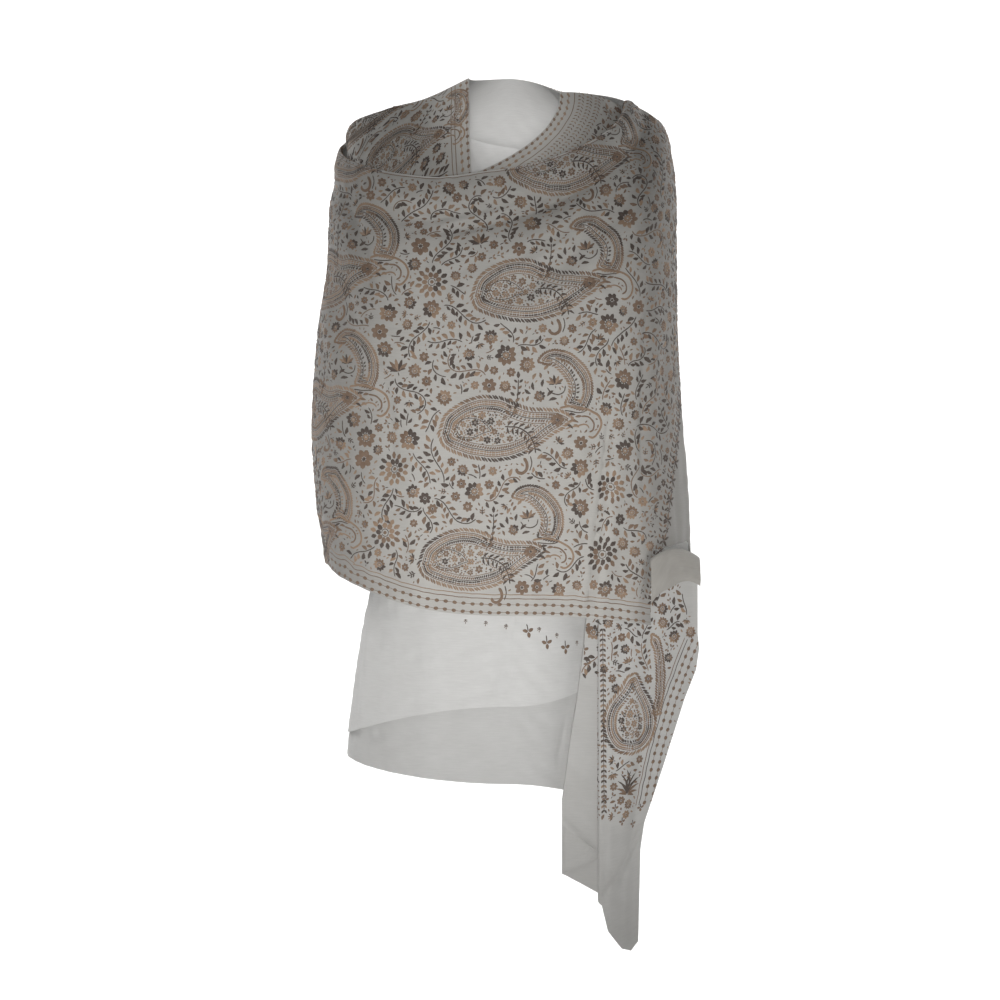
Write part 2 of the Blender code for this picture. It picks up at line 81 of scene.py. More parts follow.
FRONT_RINGS = (
    Ring("tucked edge", 0.000, 0, .2235, .150, .1015, .115, -.0470, -.1010, .018, -110, 0.0, 2.4),
    Ring("roll crown",  0.018, 0, .2250, .153, .1065, .119, -.0375, -.0905, .026, -110, 0.0, 2.4),
    Ring("roll brow",   0.036, 0, .2280, .159, .1140, .123, -.0440, -.0970, .026, -110, 0.0, 2.4),
    Ring("roll belly",  0.075, 0, .2320, .168, .1215, .127, -.0600, -.1230, .020, -108, 0.0, 2.4),
    Ring("roll foot",   0.118, 0, .2325, .176, .1130, .129, -.0850, -.1480, .012, -106, 0.0, 2.4),
    Ring("upper chest", 0.165, 0, .2380, .189, .1250, .133, -.1100, -.1780, .005, -104, 0.0, 2.5),
    Ring("chest",       0.230, 0, .2395, .206, .1330, .137, -.1500, -.2180, -.012, -102, 0.1, 2.6),
    Ring("bust",        0.310, 0, .2420, .2175, .1410, .140, -.1980, -.2650, -.070, -100, 0.2, 2.6),
    Ring("ribs",        0.430, 0, .2525, .2195, .1480, .143, -.2700, -.3400, -.180, -96, 0.4, 2.6),
    Ring("waist",       0.570, 0, .2595, .2215, .1530, .145, -.3600, -.4250, -.300, -92, 0.6, 2.6),
    Ring("elbow",       0.700, 0, .2605, .2285, .1560, .146, -.4350, -.4980, -.420, -90, 0.8, 2.6),
    Ring("hip",         0.830, 0, .2540, .2360, .1580, .147, -.5080, -.5650, -.530, -90, 0.9, 2.6),
    Ring("hem",         1.000, 0, .2430, .2380, .1580, .148, -.5870, -.6510, -.680, -90, 1.0, 2.6),
)
BACK_RINGS = (
    Ring("neck edge",   0.000, 0, .0545, .0665, .000, .070, .0560, .0680, .0376, 90, 0.6, 2.2),
    Ring("collar",      0.060, 0, .1090, .1050, .000, .088, .0300, .0350, .0350, 90, 0.2, 2.2),
    Ring("yoke",        0.130, 0, .1680, .1530, .000, .101, .0135, -.0050, .0250, 90, 0.1, 2.3),
    Ring("shoulder",    0.200, 0, .2140, .2010, .000, .111, -.0090, -.0500, -.0050, 90, 0.0, 2.4),
    Ring("arm top",     0.270, 0, .2170, .2155, .000, .118, -.0500, -.1000, -.0500, 90, 0.0, 2.5),
    Ring("chest",       0.380, 0, .2270, .2185, .000, .124, -.1350, -.1800, -.1300, 90, 0.0, 2.6),
    Ring("ribs",        0.540, 0, .2390, .2190, .000, .128, -.2600, -.2950, -.2500, 90, 0.0, 2.6),
    Ring("waist",       0.690, 0, .2460, .2250, .000, .130, -.3750, -.4000, -.3650, 90, 0.0, 2.6),
    Ring("hip",         0.840, 0, .2420, .2360, .000, .132, -.4850, -.5050, -.4800, 90, 0.0, 2.6),
    Ring("hem",         1.000, 0, .2320, .2400, .000, .134, -.5900, -.6180, -.6250, 90, 0.0, 2.6),
)
RIGHT_FALL_RINGS = (
    Ring("neck edge",   0.000, -.047, .0545, 0, .0860, 0, .0560, -.1050, 0, -90, 0.0, 2.2),
    Ring("slope",       0.270, -.046, .1090, 0, .0900, 0, .0300, -.1130, 0, -90, 0.0, 2.2),
    Ring("cap",         0.560, -.045, .1680, 0, .0930, 0, .0135, -.1220, 0, -90, 0.0, 2.3),
    Ring("shoulder",    0.800, -.044, .2140, 0, .0935, 0, -.0090, -.1320, 0, -90, 0.0, 2.4),
    Ring("arm",         1.000, -.043, .2125, 0, .0930, 0, -.0500, -.1440, 0, -90, 0.0, 2.4),
)
LEFT_FLAP_RINGS = (
    Ring("neck edge",   0.000, -.052, 0, .0665, .0880, 0, 0, -.0850, .0376, -90, 0.0, 1.7),
    Ring("first fold",  0.300, -.050, 0, .0900, .0940, 0, 0, -.0970, .0370, -90, 0.0, 1.8),
    Ring("hollow",      0.550, -.044, 0, .1150, .0910, 0, 0, -.1060, .0330, -90, 0.0, 2.1),
    Ring("tuck",        1.000, -.034, 0, .1480, .0965, 0, 0, -.1180, .0190, -90, 0.0, 2.5),
)
UNDER_UPPER_RINGS = (
    Ring("top",         0.000, 0, .1790, .120, .1310, .100, -.5950, -.5950, -.5950, -90, 0.0, 2.2),
    Ring("middle",      0.500, 0, .1990, .120, .1315, .100, -.7000, -.6850, -.6800, -90, 0.0, 2.2),
    Ring("lower edge",  1.000, 0, .2150, .120, .1320, .100, -.8120, -.7680, -.7350, -90, 1.0, 2.2),
)
UNDER_LOWER_RINGS = (
    Ring("top",         0.000, 0, .1930, .113, .1180, .090, -.7000, -.6900, -.6900, -90, 0.0, 2.2),
    Ring("middle",      0.500, 0, .2080, .113, .1185, .090, -.7800, -.7800, -.7850, -90, 0.0, 2.2),
    Ring("lower edge",  1.000, 0, .2160, .113, .1190, .090, -.8400, -.8680, -.9000, -90, 0.5, 2.2),
)
NECK_PLY_RINGS = (
    Ring("upper edge",  0.000, 0, .0800, .050, .0660, 0, -.0030, -.0465, -.0800, -90, 0.0, 2.0),
    Ring("tucked end",  1.000, 0, .0800, .050, .0720, 0, -.1000, -.1200, -.1300, -90, 0.0, 2.0),
)

# ------------------------------------------------------------- fold tables
# A crease or ridge runs from (x0, z0) to (x1, z1) seen from the front, bowed
# sideways by "bow" at its middle; "out" is how far its crest stands proud.
Fold = namedtuple("Fold", "name x0 z0 x1 z1 bow width out")
FRONT_FOLDS = (
    Fold("shoulder pull",   .150, -.060, -.020, -.200, -.012, .016, .0060),
    Fold("shoulder hollow", .165, -.095, .020, -.235, -.012, .014, -.0045),
    Fold("long pull",       .190, -.090, .080, -.330, -.015, .020, .0050),
    Fold("arm fold",       -.222, -.150, -.165, -.360, -.010, .019, .0070),
    Fold("arm hollow",     -.190, -.170, -.127, -.360, -.010, .018, -.0040),
    Fold("elbow fold",     -.235, -.380, -.160, -.560, .008, .018, .0045),
    Fold("middle fall",    -.040, -.330, -.020, -.640, .006, .022, .0040),
    Fold("right fall",      .180, -.230, .172, -.600, -.004, .016, .0045),
    Fold("tuck hollow",     .115, -.390, .084, -.655, .000, .014, -.0045),
    Fold("tuck edge",       .141, -.390, .111, -.655, .000, .014, .0050),
)
# A soft fold of the back hangs at one bearing and deepens towards the hem.
BackFold = namedtuple("BackFold", "name bearing lean width out starts")
BACK_FOLDS = (
    BackFold("right fall",           116, -4, 5.0, .0090, .20),
    BackFold("right hollow",         104, 0, 5.0, -.0080, .25),
    BackFold("centre right",         93, 2, 5.0, .0120, .20),
    BackFold("centre hollow",        80, 3, 5.5, -.0090, .25),
    BackFold("centre left",          67, 6, 5.0, .0120, .15),
    BackFold("left hollow",          53, 8, 5.0, -.0080, .20),
    BackFold("left shoulder blade",  38, 12, 5.5, .0110, .05),
    BackFold("left side",            18, 8, 4.5, .0050, .30),
)

# -------------------------------------------------- hanging end, cuff, plies
# The hanging end's outer edge leans in as it falls: reach is its x there.
Edge = namedtuple("Edge", "z reach")
END_OUTER = (
    Edge(-.600, .242), Edge(-.677, .242), Edge(-.696, .244), Edge(-.724, .240),
    Edge(-.762, .224), Edge(-.840, .198), Edge(-.917, .171), Edge(-.949, .166),
    Edge(-1.071, .163),
)
END_TOP = -.598         # inside the cuff
END_TOP_BEHIND = -.634  # behind the front panel's hem
END_FOLD_X = .1160      # the inner fold, where the ply turns back on itself
END_FOLD_Y = -.1370
END_TURN = .0045        # radius of that turn
END_TURNED_U = 1.12     # u where the turn is complete, and where the ply ends
END_LAST_U = 1.4
END_RETURN = .040       # how far the turned-back ply runs on behind
END_REACH = .120        # from the fold to the outer edge at the wrist
END_OUT_Y = .050        # how much further back the outer edge hangs,
END_OUT_POWER = 1.3     # and how late it starts to do so
END_TOP_STEP = (.36, .46)  # u between which the top steps from one height to the other
END_SWAY_FROM = .4      # share of the way down over which the soft folds grow
# Its lower edge: u is 0 at the outer edge, 1 at the inner fold, more behind it.
Hem = namedtuple("Hem", "u z")
END_HEM = (
    Hem(0, -1.068), Hem(.20, -1.080), Hem(.45, -1.076), Hem(.84, -1.052),
    Hem(1, -1.020), Hem(END_LAST_U, -.980),
)
END_SWAY = .0035        # depth of the end's two long soft folds

PLEAT_OUTER = (
    Edge(-.630, .099), Edge(-.685, .0945), Edge(-.757, .0855),
    Edge(-.812, .0765), Edge(-.889, .0665), Edge(-.985, .0665),
)
PLEAT_TOP = -.630
PLEAT_INNER_X = .1200   # the pleats' hidden side, behind the hanging end
PLEAT_FRONT_Y = -.1210
PLEAT_PITCH = .0072     # from one ply to the next, front to back
PLEAT_TURN = .12        # share of a ply's width taken by each turn, on either side
# Where the lower edge of the sloping hem is at each turn of the zigzag.
PLEAT_HEMS = (-.920, -.961, -.984, -1.013)

CUFF_X0 = .1780
CUFF_X1 = .2440
CUFF_CREST_Z = -.5795
CUFF_RADIUS = .0190     # of the roll over the wrist; tighter at its inner end
CUFF_TIGHT = .0062
CUFF_TIGHT_TO = .45     # share of its length over which it opens
CUFF_FRONT_Y = -.1430
CUFF_FRONT_DROP = .0170
CUFF_INNER_DROP = .0340   # the cuff hangs this much lower at its inner end
CUFF_BACK_DROP = .0060
CUFF_BULGE = .0050
CUFF_FOOT = .14         # share of the way round where the roll over the wrist starts
CUFF_BROW = .62         # and where it ends
CUFF_ARCH = .0120
CUFF_TILT = .0420       # the outer side of the cuff lies this much further back
CUFF_TILT_POWER = 1.5

ARM_SIDE_BOTTOM = 0.86  # "down" of the left side's lower edge, behind the cuff
ARM_SIDE_DROP_FROM = -16.0  # from this bearing on, that edge drops to the back's
ARM_SIDE_DROP = 0.55        # how far, as a share of the way to the hem ring


# ------------------------------------------------------------------- helpers
def spline(at, knots, values):
    """Smooth curve through (knots, values), read at every entry of `at`."""
    knots = np.asarray(knots, float)
    values = np.asarray(values, float)
    slope = np.gradient(values, knots) if len(knots) > 2 else \
        np.full(len(knots), (values[-1] - values[0]) / (knots[-1] - knots[0]))
    at = np.asarray(at, float)
    cell = np.clip(np.searchsorted(knots, at, side="right") - 1, 0, len(knots) - 2)
    span = knots[cell + 1] - knots[cell]
    t = (at - knots[cell]) / span
    t2 = t * t
    t3 = t2 * t
    return ((2 * t3 - 3 * t2 + 1) * values[cell] + (t3 - 2 * t2 + t) * span * slope[cell]
            + (3 * t2 - 2 * t3) * values[cell + 1] + (t3 - t2) * span * slope[cell + 1])


def ease(t):
    """0 to 1 with level ends."""
    t = np.clip(t, 0.0, 1.0)
    return t * t * (3 - 2 * t)


def bump(distance, width):
    return np.exp(-(distance / width) ** 2)


def worn_surface(rings, bearing, down):
    """Points of the cloth lofted through `rings`."""
    col = {}
    for field in Ring._fields[2:]:
        col[field] = spline(down, [r.down for r in rings], [getattr(r, field) for r in rings])
    turn = np.radians(bearing)
    across = np.cos(turn)
    fore = np.sin(turn)
    power = 2.0 / col["square"]
    reach = np.where(across < 0, -(col["left"] + col["centre"]), col["right"] - col["centre"])
    depth = np.where(fore < 0, -col["front"], col["back"])
    x = col["centre"] + reach * np.abs(across) ** power
    y = depth * np.abs(fore) ** power
    low = col["low_at"]
    to_left = bearing < low if rings[0].low_at < 0 else bearing > low
    side_gap = np.where(to_left, 180 - np.abs(low), np.abs(low))
    away = np.abs(bearing - low) / side_gap
    away = np.where(away > 1, 1 + CLIMB_SOFT * np.tanh((away - 1) / CLIMB_SOFT), away)
    climb = (1 - col["ease"]) * away ** CLIMB_POWER + col["ease"] * ease(away)
    side = np.where(to_left, col["z_left"], col["z_right"])
    z = col["z_low"] + (side - col["z_low"]) * climb
    return np.stack((x, y, z), axis=-1)


def crease_height(creases, points, side=-1):
    """How far creases stand out at each of `points`; they fade where the cloth no longer
    faces their side: -1 the front, 1 the back, 0 both.
    """
    x = points[..., 0]
    z = points[..., 2]
    total = np.zeros_like(x)
    for f in creases:
        run = np.array((f.x1 - f.x0, f.z1 - f.z0))
        length = np.hypot(*run)
        along = ((x - f.x0) * run[0] + (z - f.z0) * run[1]) / length ** 2
        away = ((x - f.x0) * run[1] - (z - f.z0) * run[0]) / length
        away = away - f.bow * 4 * along * (1 - along)
        fade = ease((along + FOLD_RUN_OUT) / FOLD_FADE) * ease((1 + FOLD_RUN_OUT - along) / FOLD_FADE)
        total += f.out * bump(away, f.width) * fade
    if side:
        total = total * ease((side * points[..., 1] - FOLD_EDGE) / FOLD_DEPTH)
    return total


def round_height(creases, u, v, spread=0):
    """Creases that hang at a bearing, deepen and spread towards the hem."""
    rise = np.zeros_like(v)
    for f in creases:
        centre = f.bearing + f.lean * (v - 1)
        width = f.width + spread * v
        rise += f.out * bump(u * 100 - centre, width) * ease((v - f.starts) / (1 - f.starts))
    return rise


def from_middle(points):
    """Level way from the wearer's middle line, turned more to front and back."""
    return points * np.array((FLATTEN, 1, 0))


def outward(points):
    away = from_middle(points)
    return away / np.maximum(np.linalg.norm(away, axis=-1, keepdims=True), 1e-9)


def front_cloth(u, v):
    """Front stretch; u is the bearing / 100, v the way down."""
    bearing = u * 100
    base = worn_surface(FRONT_RINGS, bearing, v)
    wave = HEM_WAVE * np.sin(np.radians(bearing * HEM_RIPPLES))
    wave = wave * ease((v - HEM_WAVE_FROM) / (1 - HEM_WAVE_FROM))
    wave = wave * ease((np.abs(bearing) - HEM_WAVE_CALM) / HEM_WAVE_BLEND)
    return base + outward(base) * (crease_height(FRONT_FOLDS, base) + wave)[..., None]


def arm_side_cloth(u, v):
    """The front cloth goes on round the arm; its hem drops to the back's hem."""
    reach = ease((u - ARM_SIDE_DROP_FROM / 100) / (-ARM_SIDE_DROP_FROM / 100))
    return front_cloth(u, v * (1 + (1 / ARM_SIDE_BOTTOM - 1) * ARM_SIDE_DROP * reach))


def back_cloth(u, v):
    base = worn_surface(BACK_RINGS, u * 100, v)
    rise = round_height(BACK_FOLDS, u, v, BACK_FOLD_SPREAD)
    return base + outward(base) * rise[..., None]


def edge_at(table, z):
    heights, reaches = zip(*sorted(table))
    return np.interp(z, heights, reaches)


def end_cloth(u, v):
    """Hanging end; u is 0 at its outer edge, 1 at the fold, END_LAST_U behind it."""
    z_bottom = np.interp(u, [h.u for h in END_HEM], [h.z for h in END_HEM])
    z_top = np.interp(u, END_TOP_STEP, (END_TOP, END_TOP_BEHIND))
    z = z_top + (z_bottom - z_top) * v
    outer = edge_at(END_OUTER, z)
    ply = np.clip(u, 0, 1)
    turn = np.clip((u - 1) / (END_TURNED_U - 1), 0, 1) * math.pi
    behind = np.clip((u - END_TURNED_U) / (END_LAST_U - END_TURNED_U), 0, 1)
    x = outer + (END_FOLD_X - outer) * ply - END_TURN * np.sin(turn) + END_RETURN * behind
    back = ((x - END_FOLD_X) / END_REACH).clip(0, 1) ** END_OUT_POWER * END_OUT_Y
    sway = END_SWAY * np.sin(ply * 2 * math.pi) * ease(v / END_SWAY_FROM)
    y = END_FOLD_Y + back + END_TURN * (1 - np.cos(turn)) + sway
    return np.stack((x, y, z), axis=-1)


def pleat_cloth(u, v):
    """Plain zigzag of three plies; u runs 0 to 3, one for each ply."""
    ply = np.clip(np.floor(u), 0, 2).astype(int)
    t = u - ply
    hems = np.array(PLEAT_HEMS)
    z_bottom = hems[ply] + (hems[ply + 1] - hems[ply]) * t
    z = PLEAT_TOP + (z_bottom - PLEAT_TOP) * v
    outer = edge_at(PLEAT_OUTER, z)
    to_right = np.where(ply == 1, 1 - t, t)
    x = outer + (PLEAT_INNER_X - outer) * to_right
    whole = 2 * PLEAT_TURN
    level = ease((u - 1 + PLEAT_TURN) / whole) + ease((u - 2 + PLEAT_TURN) / whole)
    return np.stack((x, PLEAT_FRONT_Y + PLEAT_PITCH * level, z), axis=-1)


def cuff_cloth(u, v):
    """Turned-over cuff; u runs along it, v from its back foot to its front edge."""
    lift = CUFF_ARCH * (1 - (2 * u - 1) ** 2)
    radius = CUFF_TIGHT + (CUFF_RADIUS - CUFF_TIGHT) * ease(u / CUFF_TIGHT_TO)
    front_drop = CUFF_FRONT_DROP + CUFF_INNER_DROP * np.maximum(1 - u, 0) ** 2
    climb = CUFF_BACK_DROP * np.clip(v / CUFF_FOOT, 0, 1)
    bend = math.pi * np.clip((v - CUFF_FOOT) / (CUFF_BROW - CUFF_FOOT), 0, 1)
    fallen = np.clip((v - CUFF_BROW) / (1 - CUFF_BROW), 0, 1)
    x = CUFF_X0 + (CUFF_X1 - CUFF_X0) * u
    y = CUFF_FRONT_Y + radius * (1 + np.cos(bend)) + CUFF_TILT * np.maximum(u, 0) ** CUFF_TILT_POWER
    y = y - CUFF_BULGE * np.sin(fallen * math.pi)
    z = (CUFF_CREST_Z - radius - CUFF_BACK_DROP + climb + radius * np.sin(bend)
         - front_drop * fallen + lift)
    return np.stack((x, y, z), axis=-1)


# ---------------------------------------------------------- finer creases
# Seen from the front as above: soft troughs and ridges too fine for the solids.
FINE_FRONT = (
    Fold("neck drag one",     .118, -.080, -.085, -.150, -.010, .008, .0022),
    Fold("neck drag two",     .105, -.098, -.090, -.163, -.012, .006, -.0018),
    Fold("chest drag",        .135, -.120, -.030, -.222, -.014, .009, .0020),
    Fold("bust drag",         .170, -.150, .050, -.262, -.012, .010, -.0018),
    Fold("under bust",        .120, -.235, -.060, -.300, .010, .013, .0014),
    Fold("arm crease high",  -.214, -.115, -.185, -.250, -.008, .009, -.0026),
    Fold("arm crease mid",   -.236, -.240, -.205, -.385, .007, .010, .0024),
    Fold("arm crease low",   -.176, -.300, -.150, -.470, -.005, .009, -.0018),
    Fold("elbow crease",     -.252, -.420, -.196, -.470, .006, .008, -.0022),
    Fold("elbow crease low", -.250, -.500, -.170, -.585, .008, .010, .0020),
    Fold("left fall",        -.120, -.410, -.112, -.640, .004, .014, .0018),
    Fold("left hollow",      -.082, -.450, -.075, -.650, .003, .011, -.0014),
    Fold("belly fall",        .035, -.380, .022, -.660, .004, .015, .0016),
    Fold("belly hollow",      .066, -.420, .052, -.650, .002, .010, -.0012),
    Fold("tuck shade",        .128, -.395, .098, -.660, .000, .0050, -.0030),
    Fold("roll foot line",   -.125, -.146, .151, -.057, .020, .0060, -.0016),
    Fold("arm turn",          .178, -.225, .171, -.560, .005, .0060, -.0017),
    Fold("right crease",      .203, -.300, .197, -.470, .006, .007, -.0016),
    Fold("right low crease",  .168, -.480, .160, -.640, -.004, .008, .0018),
    Fold("wrist pull",        .205, -.520, .150, -.590, -.006, .009, .0016),
)
# By bearing, for what the front view doesn't show: the arm side and the wrap behind.
FINE_ROUND = (
    BackFold("rear of right arm", -196, 3, 3.2, .0042, .25),
    BackFold("rear hollow",       -205, -2, 3.0, -.0034, .30),
    BackFold("wrap edge fall",    -218, 2, 3.4, .0040, .15),
    BackFold("right arm outer",   -172, 4, 3.6, .0030, .35),
    BackFold("left arm outer",     -12, -3, 3.4, .0032, .30),
    BackFold("left arm front",     -27, 3, 3.0, -.0026, .35),
)
FINE_BACK = (
    BackFold("far right crease",   132, -3, 2.6, .0036, .30),
    BackFold("right soft crease",  110, -5, 2.2, -.0030, .35),
    BackFold("centre crease",       86, 1, 2.4, .0034, .30),
    BackFold("centre low crease",   74, 4, 2.0, -.0026, .50),
    BackFold("left soft crease",    60, 5, 2.4, .0032, .40),
    BackFold("blade crease",        45, 9, 2.6, -.0030, .15),
    BackFold("left edge crease",    28, 8, 2.4, .0028, .25),
    BackFold("left low crease",     10, 2, 2.2, -.0022, .55),
)
# A drag line of the back, seen from behind: x and z as in the front tables.
BACK_DRAGS = (
    Fold("yoke left",   .135, -.050, -.020, -.150, .012, .012, .0030),
    Fold("yoke right", -.140, -.070, .010, -.175, -.012, .012, .0026),
    Fold("blade left",  .170, -.150, .040, -.270, .012, .011, -.0024),
    Fold("blade right", -.165, -.170, -.040, -.300, -.010, .011, -.0022),
)
UNDER_FOLDS = (
    Fold("soft crease high",  .0060, -.640, -.0150, -.765, .003, .0035, .0022),
    Fold("soft hollow",      -.0040, -.640, -.0250, -.765, .003, .0060, -.0014),
    Fold("soft crease low",  -.0150, -.740, -.0280, -.860, .002, .0040, .0022),
    Fold("left turn",        -.1830, -.650, -.1960, -.830, .000, .0060, .0024),
    Fold("right pleat one",   .0700, -.790, .0600, -.840, .000, .0020, -.0016),
    Fold("right pleat two",   .0760, -.785, .0650, -.850, .000, .0020, .0014),
    Fold("broad fall",       -.0900, -.640, -.1050, -.860, .004, .0180, .0020),
)
END_FOLDS = (
    Fold("inner soft turn",   .128, -.640, .126, -1.000, .002, .0050, .0016),
    Fold("middle fall",       .160, -.640, .146, -.960, .004, .0090, .0020),
    Fold("middle hollow",     .186, -.640, .158, -.960, .004, .0070, -.0020),
    Fold("low crease",        .1640, -.925, .1180, -1.006, -.004, .0036, .0042),
    Fold("low hollow",        .1560, -.930, .1300, -1.020, -.004, .0060, -.0020),
    Fold("edge flute",        .150, -.960, .146, -1.070, .000, .0070, .0026),
)
# The edges of the plies underneath, which show through the pleat's front ply.
PLEAT_FOLDS = (
    Fold("upper ply edge", .0650, -.9100, .1120, -.9560, .002, .0026, .0030),
    Fold("lower ply edge", .1120, -.9590, .0665, -.9790, -.002, .0026, -.0026),
    Fold("long fall",      .0930, -.6400, .0800, -.9200, .004, .0060, .0012),
)
CREASE_DEPTH = 2.3      # how much stronger the front's fine creases are than in the table
RIPPLE = .0006          # the cloth's own unevenness
RIPPLE_PITCHES = (.037, .061, .023)
BACK_CREASES_FROM = .12   # share of the back's way down over which its creases grow,
END_CREASES_FROM = .06    # and of the hanging end's width beside its inner fold


def ripple(points):
    """A slow, uneven wandering of the surface."""
    one, two, three = (2 * math.pi / pitch for pitch in RIPPLE_PITCHES)
    x, y, z = points[..., 0] - points[..., 1], points[..., 1], points[..., 2]
    return RIPPLE * (np.sin(one * x + 1.3 * np.sin(two * z)) * np.sin(two * z + x * one * .4)
                     + .6 * np.sin(three * (z + .4 * x)) * np.sin(one * (x - .3 * z) + y * two))


def front_and_arm(u, v):
    """The front and the left arm's side in one, as the cloth is."""
    both = np.where((u > SIDE_SEAM / 100)[..., None], arm_side_cloth(u, v), front_cloth(u, v))
    rise = CREASE_DEPTH * crease_height(FINE_FRONT, both) + round_height(FINE_ROUND, u, v) + ripple(both)
    return both + outward(both) * rise[..., None]


def creased_back(u, v):
    plain = back_cloth(u, v)
    rise = round_height(FINE_BACK, u, v) + crease_height(BACK_DRAGS, plain, 1) + ripple(plain)
    return plain + outward(plain) * (rise * ease(v / BACK_CREASES_FROM))[..., None]


def creased_rings(rings, creases):
    def surface(u, v):
        plain = worn_surface(rings, u * 100, v)
        rise = crease_height(creases, plain, 0) + ripple(plain)
        return plain + outward(plain) * rise[..., None]
    return surface


def creased_end(u, v):
    plain = end_cloth(u, v)
    rise = (crease_height(END_FOLDS, plain, 0) + ripple(plain)) * ease((1 - u) / END_CREASES_FROM)
    return plain + np.array((0, -1, 0)) * rise[..., None]


def creased_pleats(u, v):
    plain = pleat_cloth(u, v)
    rise = crease_height(PLEAT_FOLDS, plain, 0) + .5 * ripple(plain)
    return plain + np.array((0, -1, 0)) * rise[..., None]


# --------------------------------------------------------------- cloth grids
CHART_CELL = .010       # cell of the net that a search starts from
CHART_MISS = .0004      # a stitch further off the chart than this is off the cloth
EVERY = 3               # each third row and column is known to that net
BATCH = 1024            # places of the net looked at together
ROUNDS = 7              # steps of a search, and the most rows or columns in a step
STRIDE = 6
CHEST = (0, .02, -.20)


class Cloth:
    """A stretch of cloth on a fine grid, with a flat chart in metres laid over it.

    The chart's `across` and `up` say where a point is on the cut cloth: across is
    the way round from the grid column `start`, up the way along from the row `top`.
    """

    def __init__(self, name, surface, us, vs, start, top, face, level=True):
        self.name = name
        self.us = us
        self.vs = vs
        u, v = np.meshgrid(us, vs, indexing="ij")
        self.points = surface(u, v)
        n = np.cross(np.gradient(self.points, axis=0), np.gradient(self.points, axis=1))
        n /= np.maximum(np.linalg.norm(n, axis=-1, keepdims=True), TINY)
        outside = face(self.points)
        self.normals = n * np.sign(np.sum(n * outside))
        i = int(np.argmin(np.abs(us - start)))
        j = int(np.argmin(np.abs(vs - top)))
        step = np.diff(self.points, axis=0)
        if level:
            step = step * np.array((1, 1, 0))
        run = np.concatenate((np.zeros((1, len(vs))),
                              np.cumsum(np.linalg.norm(step, axis=-1), axis=0)))
        self.across = run - run[i]
        step = np.linalg.norm(np.diff(self.points, axis=1), axis=-1)
        run = np.concatenate((np.zeros((len(us), 1)), np.cumsum(step, axis=1)), axis=1)
        height = self.points[:, j, 2] if level else np.zeros(len(us))
        self.up = height[:, None] - (run - run[:, j:j + 1])
        if level:
            self.across = self.across + self.points[i, :, 0][None, :]
        down_u, down_v = np.gradient(self.across), np.gradient(self.up)
        way = down_u[0] * down_v[1] - down_u[1] * down_v[0]
        self.handed = np.sign(np.sum(n * outside) * np.sum(way))
        self._start_table()

    def _start_table(self):
        """For a coarse net of chart places, the nearest grid place."""
        self.low = np.array((self.across.min(), self.up.min())) - CHART_CELL
        high = np.array((self.across.max(), self.up.max())) + CHART_CELL
        self.shape = np.ceil((high - self.low) / CHART_CELL).astype(int) + 1
        a = self.low[0] + CHART_CELL * np.arange(self.shape[0])
        h = self.low[1] + CHART_CELL * np.arange(self.shape[1])
        a, h = np.meshgrid(a, h, indexing="ij")
        ii, jj = np.meshgrid(np.arange(0, len(self.us), EVERY), np.arange(0, len(self.vs), EVERY),
                             indexing="ij")
        ii, jj = ii.ravel(), jj.ravel()
        known = np.stack((self.across[ii, jj], self.up[ii, jj]), axis=1)
        best = np.empty(a.size, int)
        wanted = np.stack((a.ravel(), h.ravel()), axis=1)
        for k in range(0, len(wanted), BATCH):
            gap = ((wanted[k:k + BATCH, None] - known[None]) ** 2).sum(-1)
            best[k:k + BATCH] = np.argmin(gap, axis=1)
        self.guess = np.stack((ii[best], jj[best]), axis=1).reshape(*self.shape, 2)

    def _read(self, grid, i, j):
        """grid at fractional places, by bilinear interpolation."""
        a = np.clip(i.astype(int), 0, grid.shape[0] - 2)
        b = np.clip(j.astype(int), 0, grid.shape[1] - 2)
        s = (i - a).reshape(-1, *([1] * (grid.ndim - 2)))
        t = (j - b).reshape(s.shape)
        return ((grid[a, b] * (1 - s) + grid[a + 1, b] * s) * (1 - t)
                + (grid[a, b + 1] * (1 - s) + grid[a + 1, b + 1] * s) * t)

    def locate(self, flat):
        """Grid places of chart points, and whether each is on the cloth."""
        cell = np.rint((flat - self.low) / CHART_CELL).astype(int)
        cell = np.clip(cell, 0, np.array(self.shape) - 1)
        i, j = self.guess[cell[:, 0], cell[:, 1]].T.astype(float)
        rows, cols = self.across.shape
        for _ in range(ROUNDS):
            a = np.clip(i.astype(int), 0, rows - 2)
            b = np.clip(j.astype(int), 0, cols - 2)
            s, t = i - a, j - b
            f = []
            for grid in (self.across, self.up):
                p, q = grid[a, b], grid[a + 1, b]
                r, w = grid[a, b + 1], grid[a + 1, b + 1]
                f.append(((p * (1 - s) + q * s) * (1 - t) + (r * (1 - s) + w * s) * t,
                          (q - p) * (1 - t) + (w - r) * t, (r - p) * (1 - s) + (w - q) * s))
            e0, e1 = flat[:, 0] - f[0][0], flat[:, 1] - f[1][0]
            det = f[0][1] * f[1][2] - f[0][2] * f[1][1]
            det = np.where(np.abs(det) < TINY, TINY, det)
            i_step = np.clip((e0 * f[1][2] - e1 * f[0][2]) / det, -STRIDE, STRIDE)
            j_step = np.clip((f[0][1] * e1 - f[1][1] * e0) / det, -STRIDE, STRIDE)
            i = np.clip(i + i_step, 0, rows - 1)
            j = np.clip(j + j_step, 0, cols - 1)
        miss = np.hypot(self._read(self.across, i, j) - flat[:, 0],
                        self._read(self.up, i, j) - flat[:, 1])
        return i, j, miss < CHART_MISS

    def lift(self, flat, height):
        """Points in space of chart points raised by `height`, and the mask on the cloth."""
        i, j, on = self.locate(flat)
        n = self._read(self.normals, i, j)
        n /= np.linalg.norm(n, axis=-1, keepdims=True)
        return self._read(self.points, i, j) + n * (CLOTH / 2 + height)[:, None], on

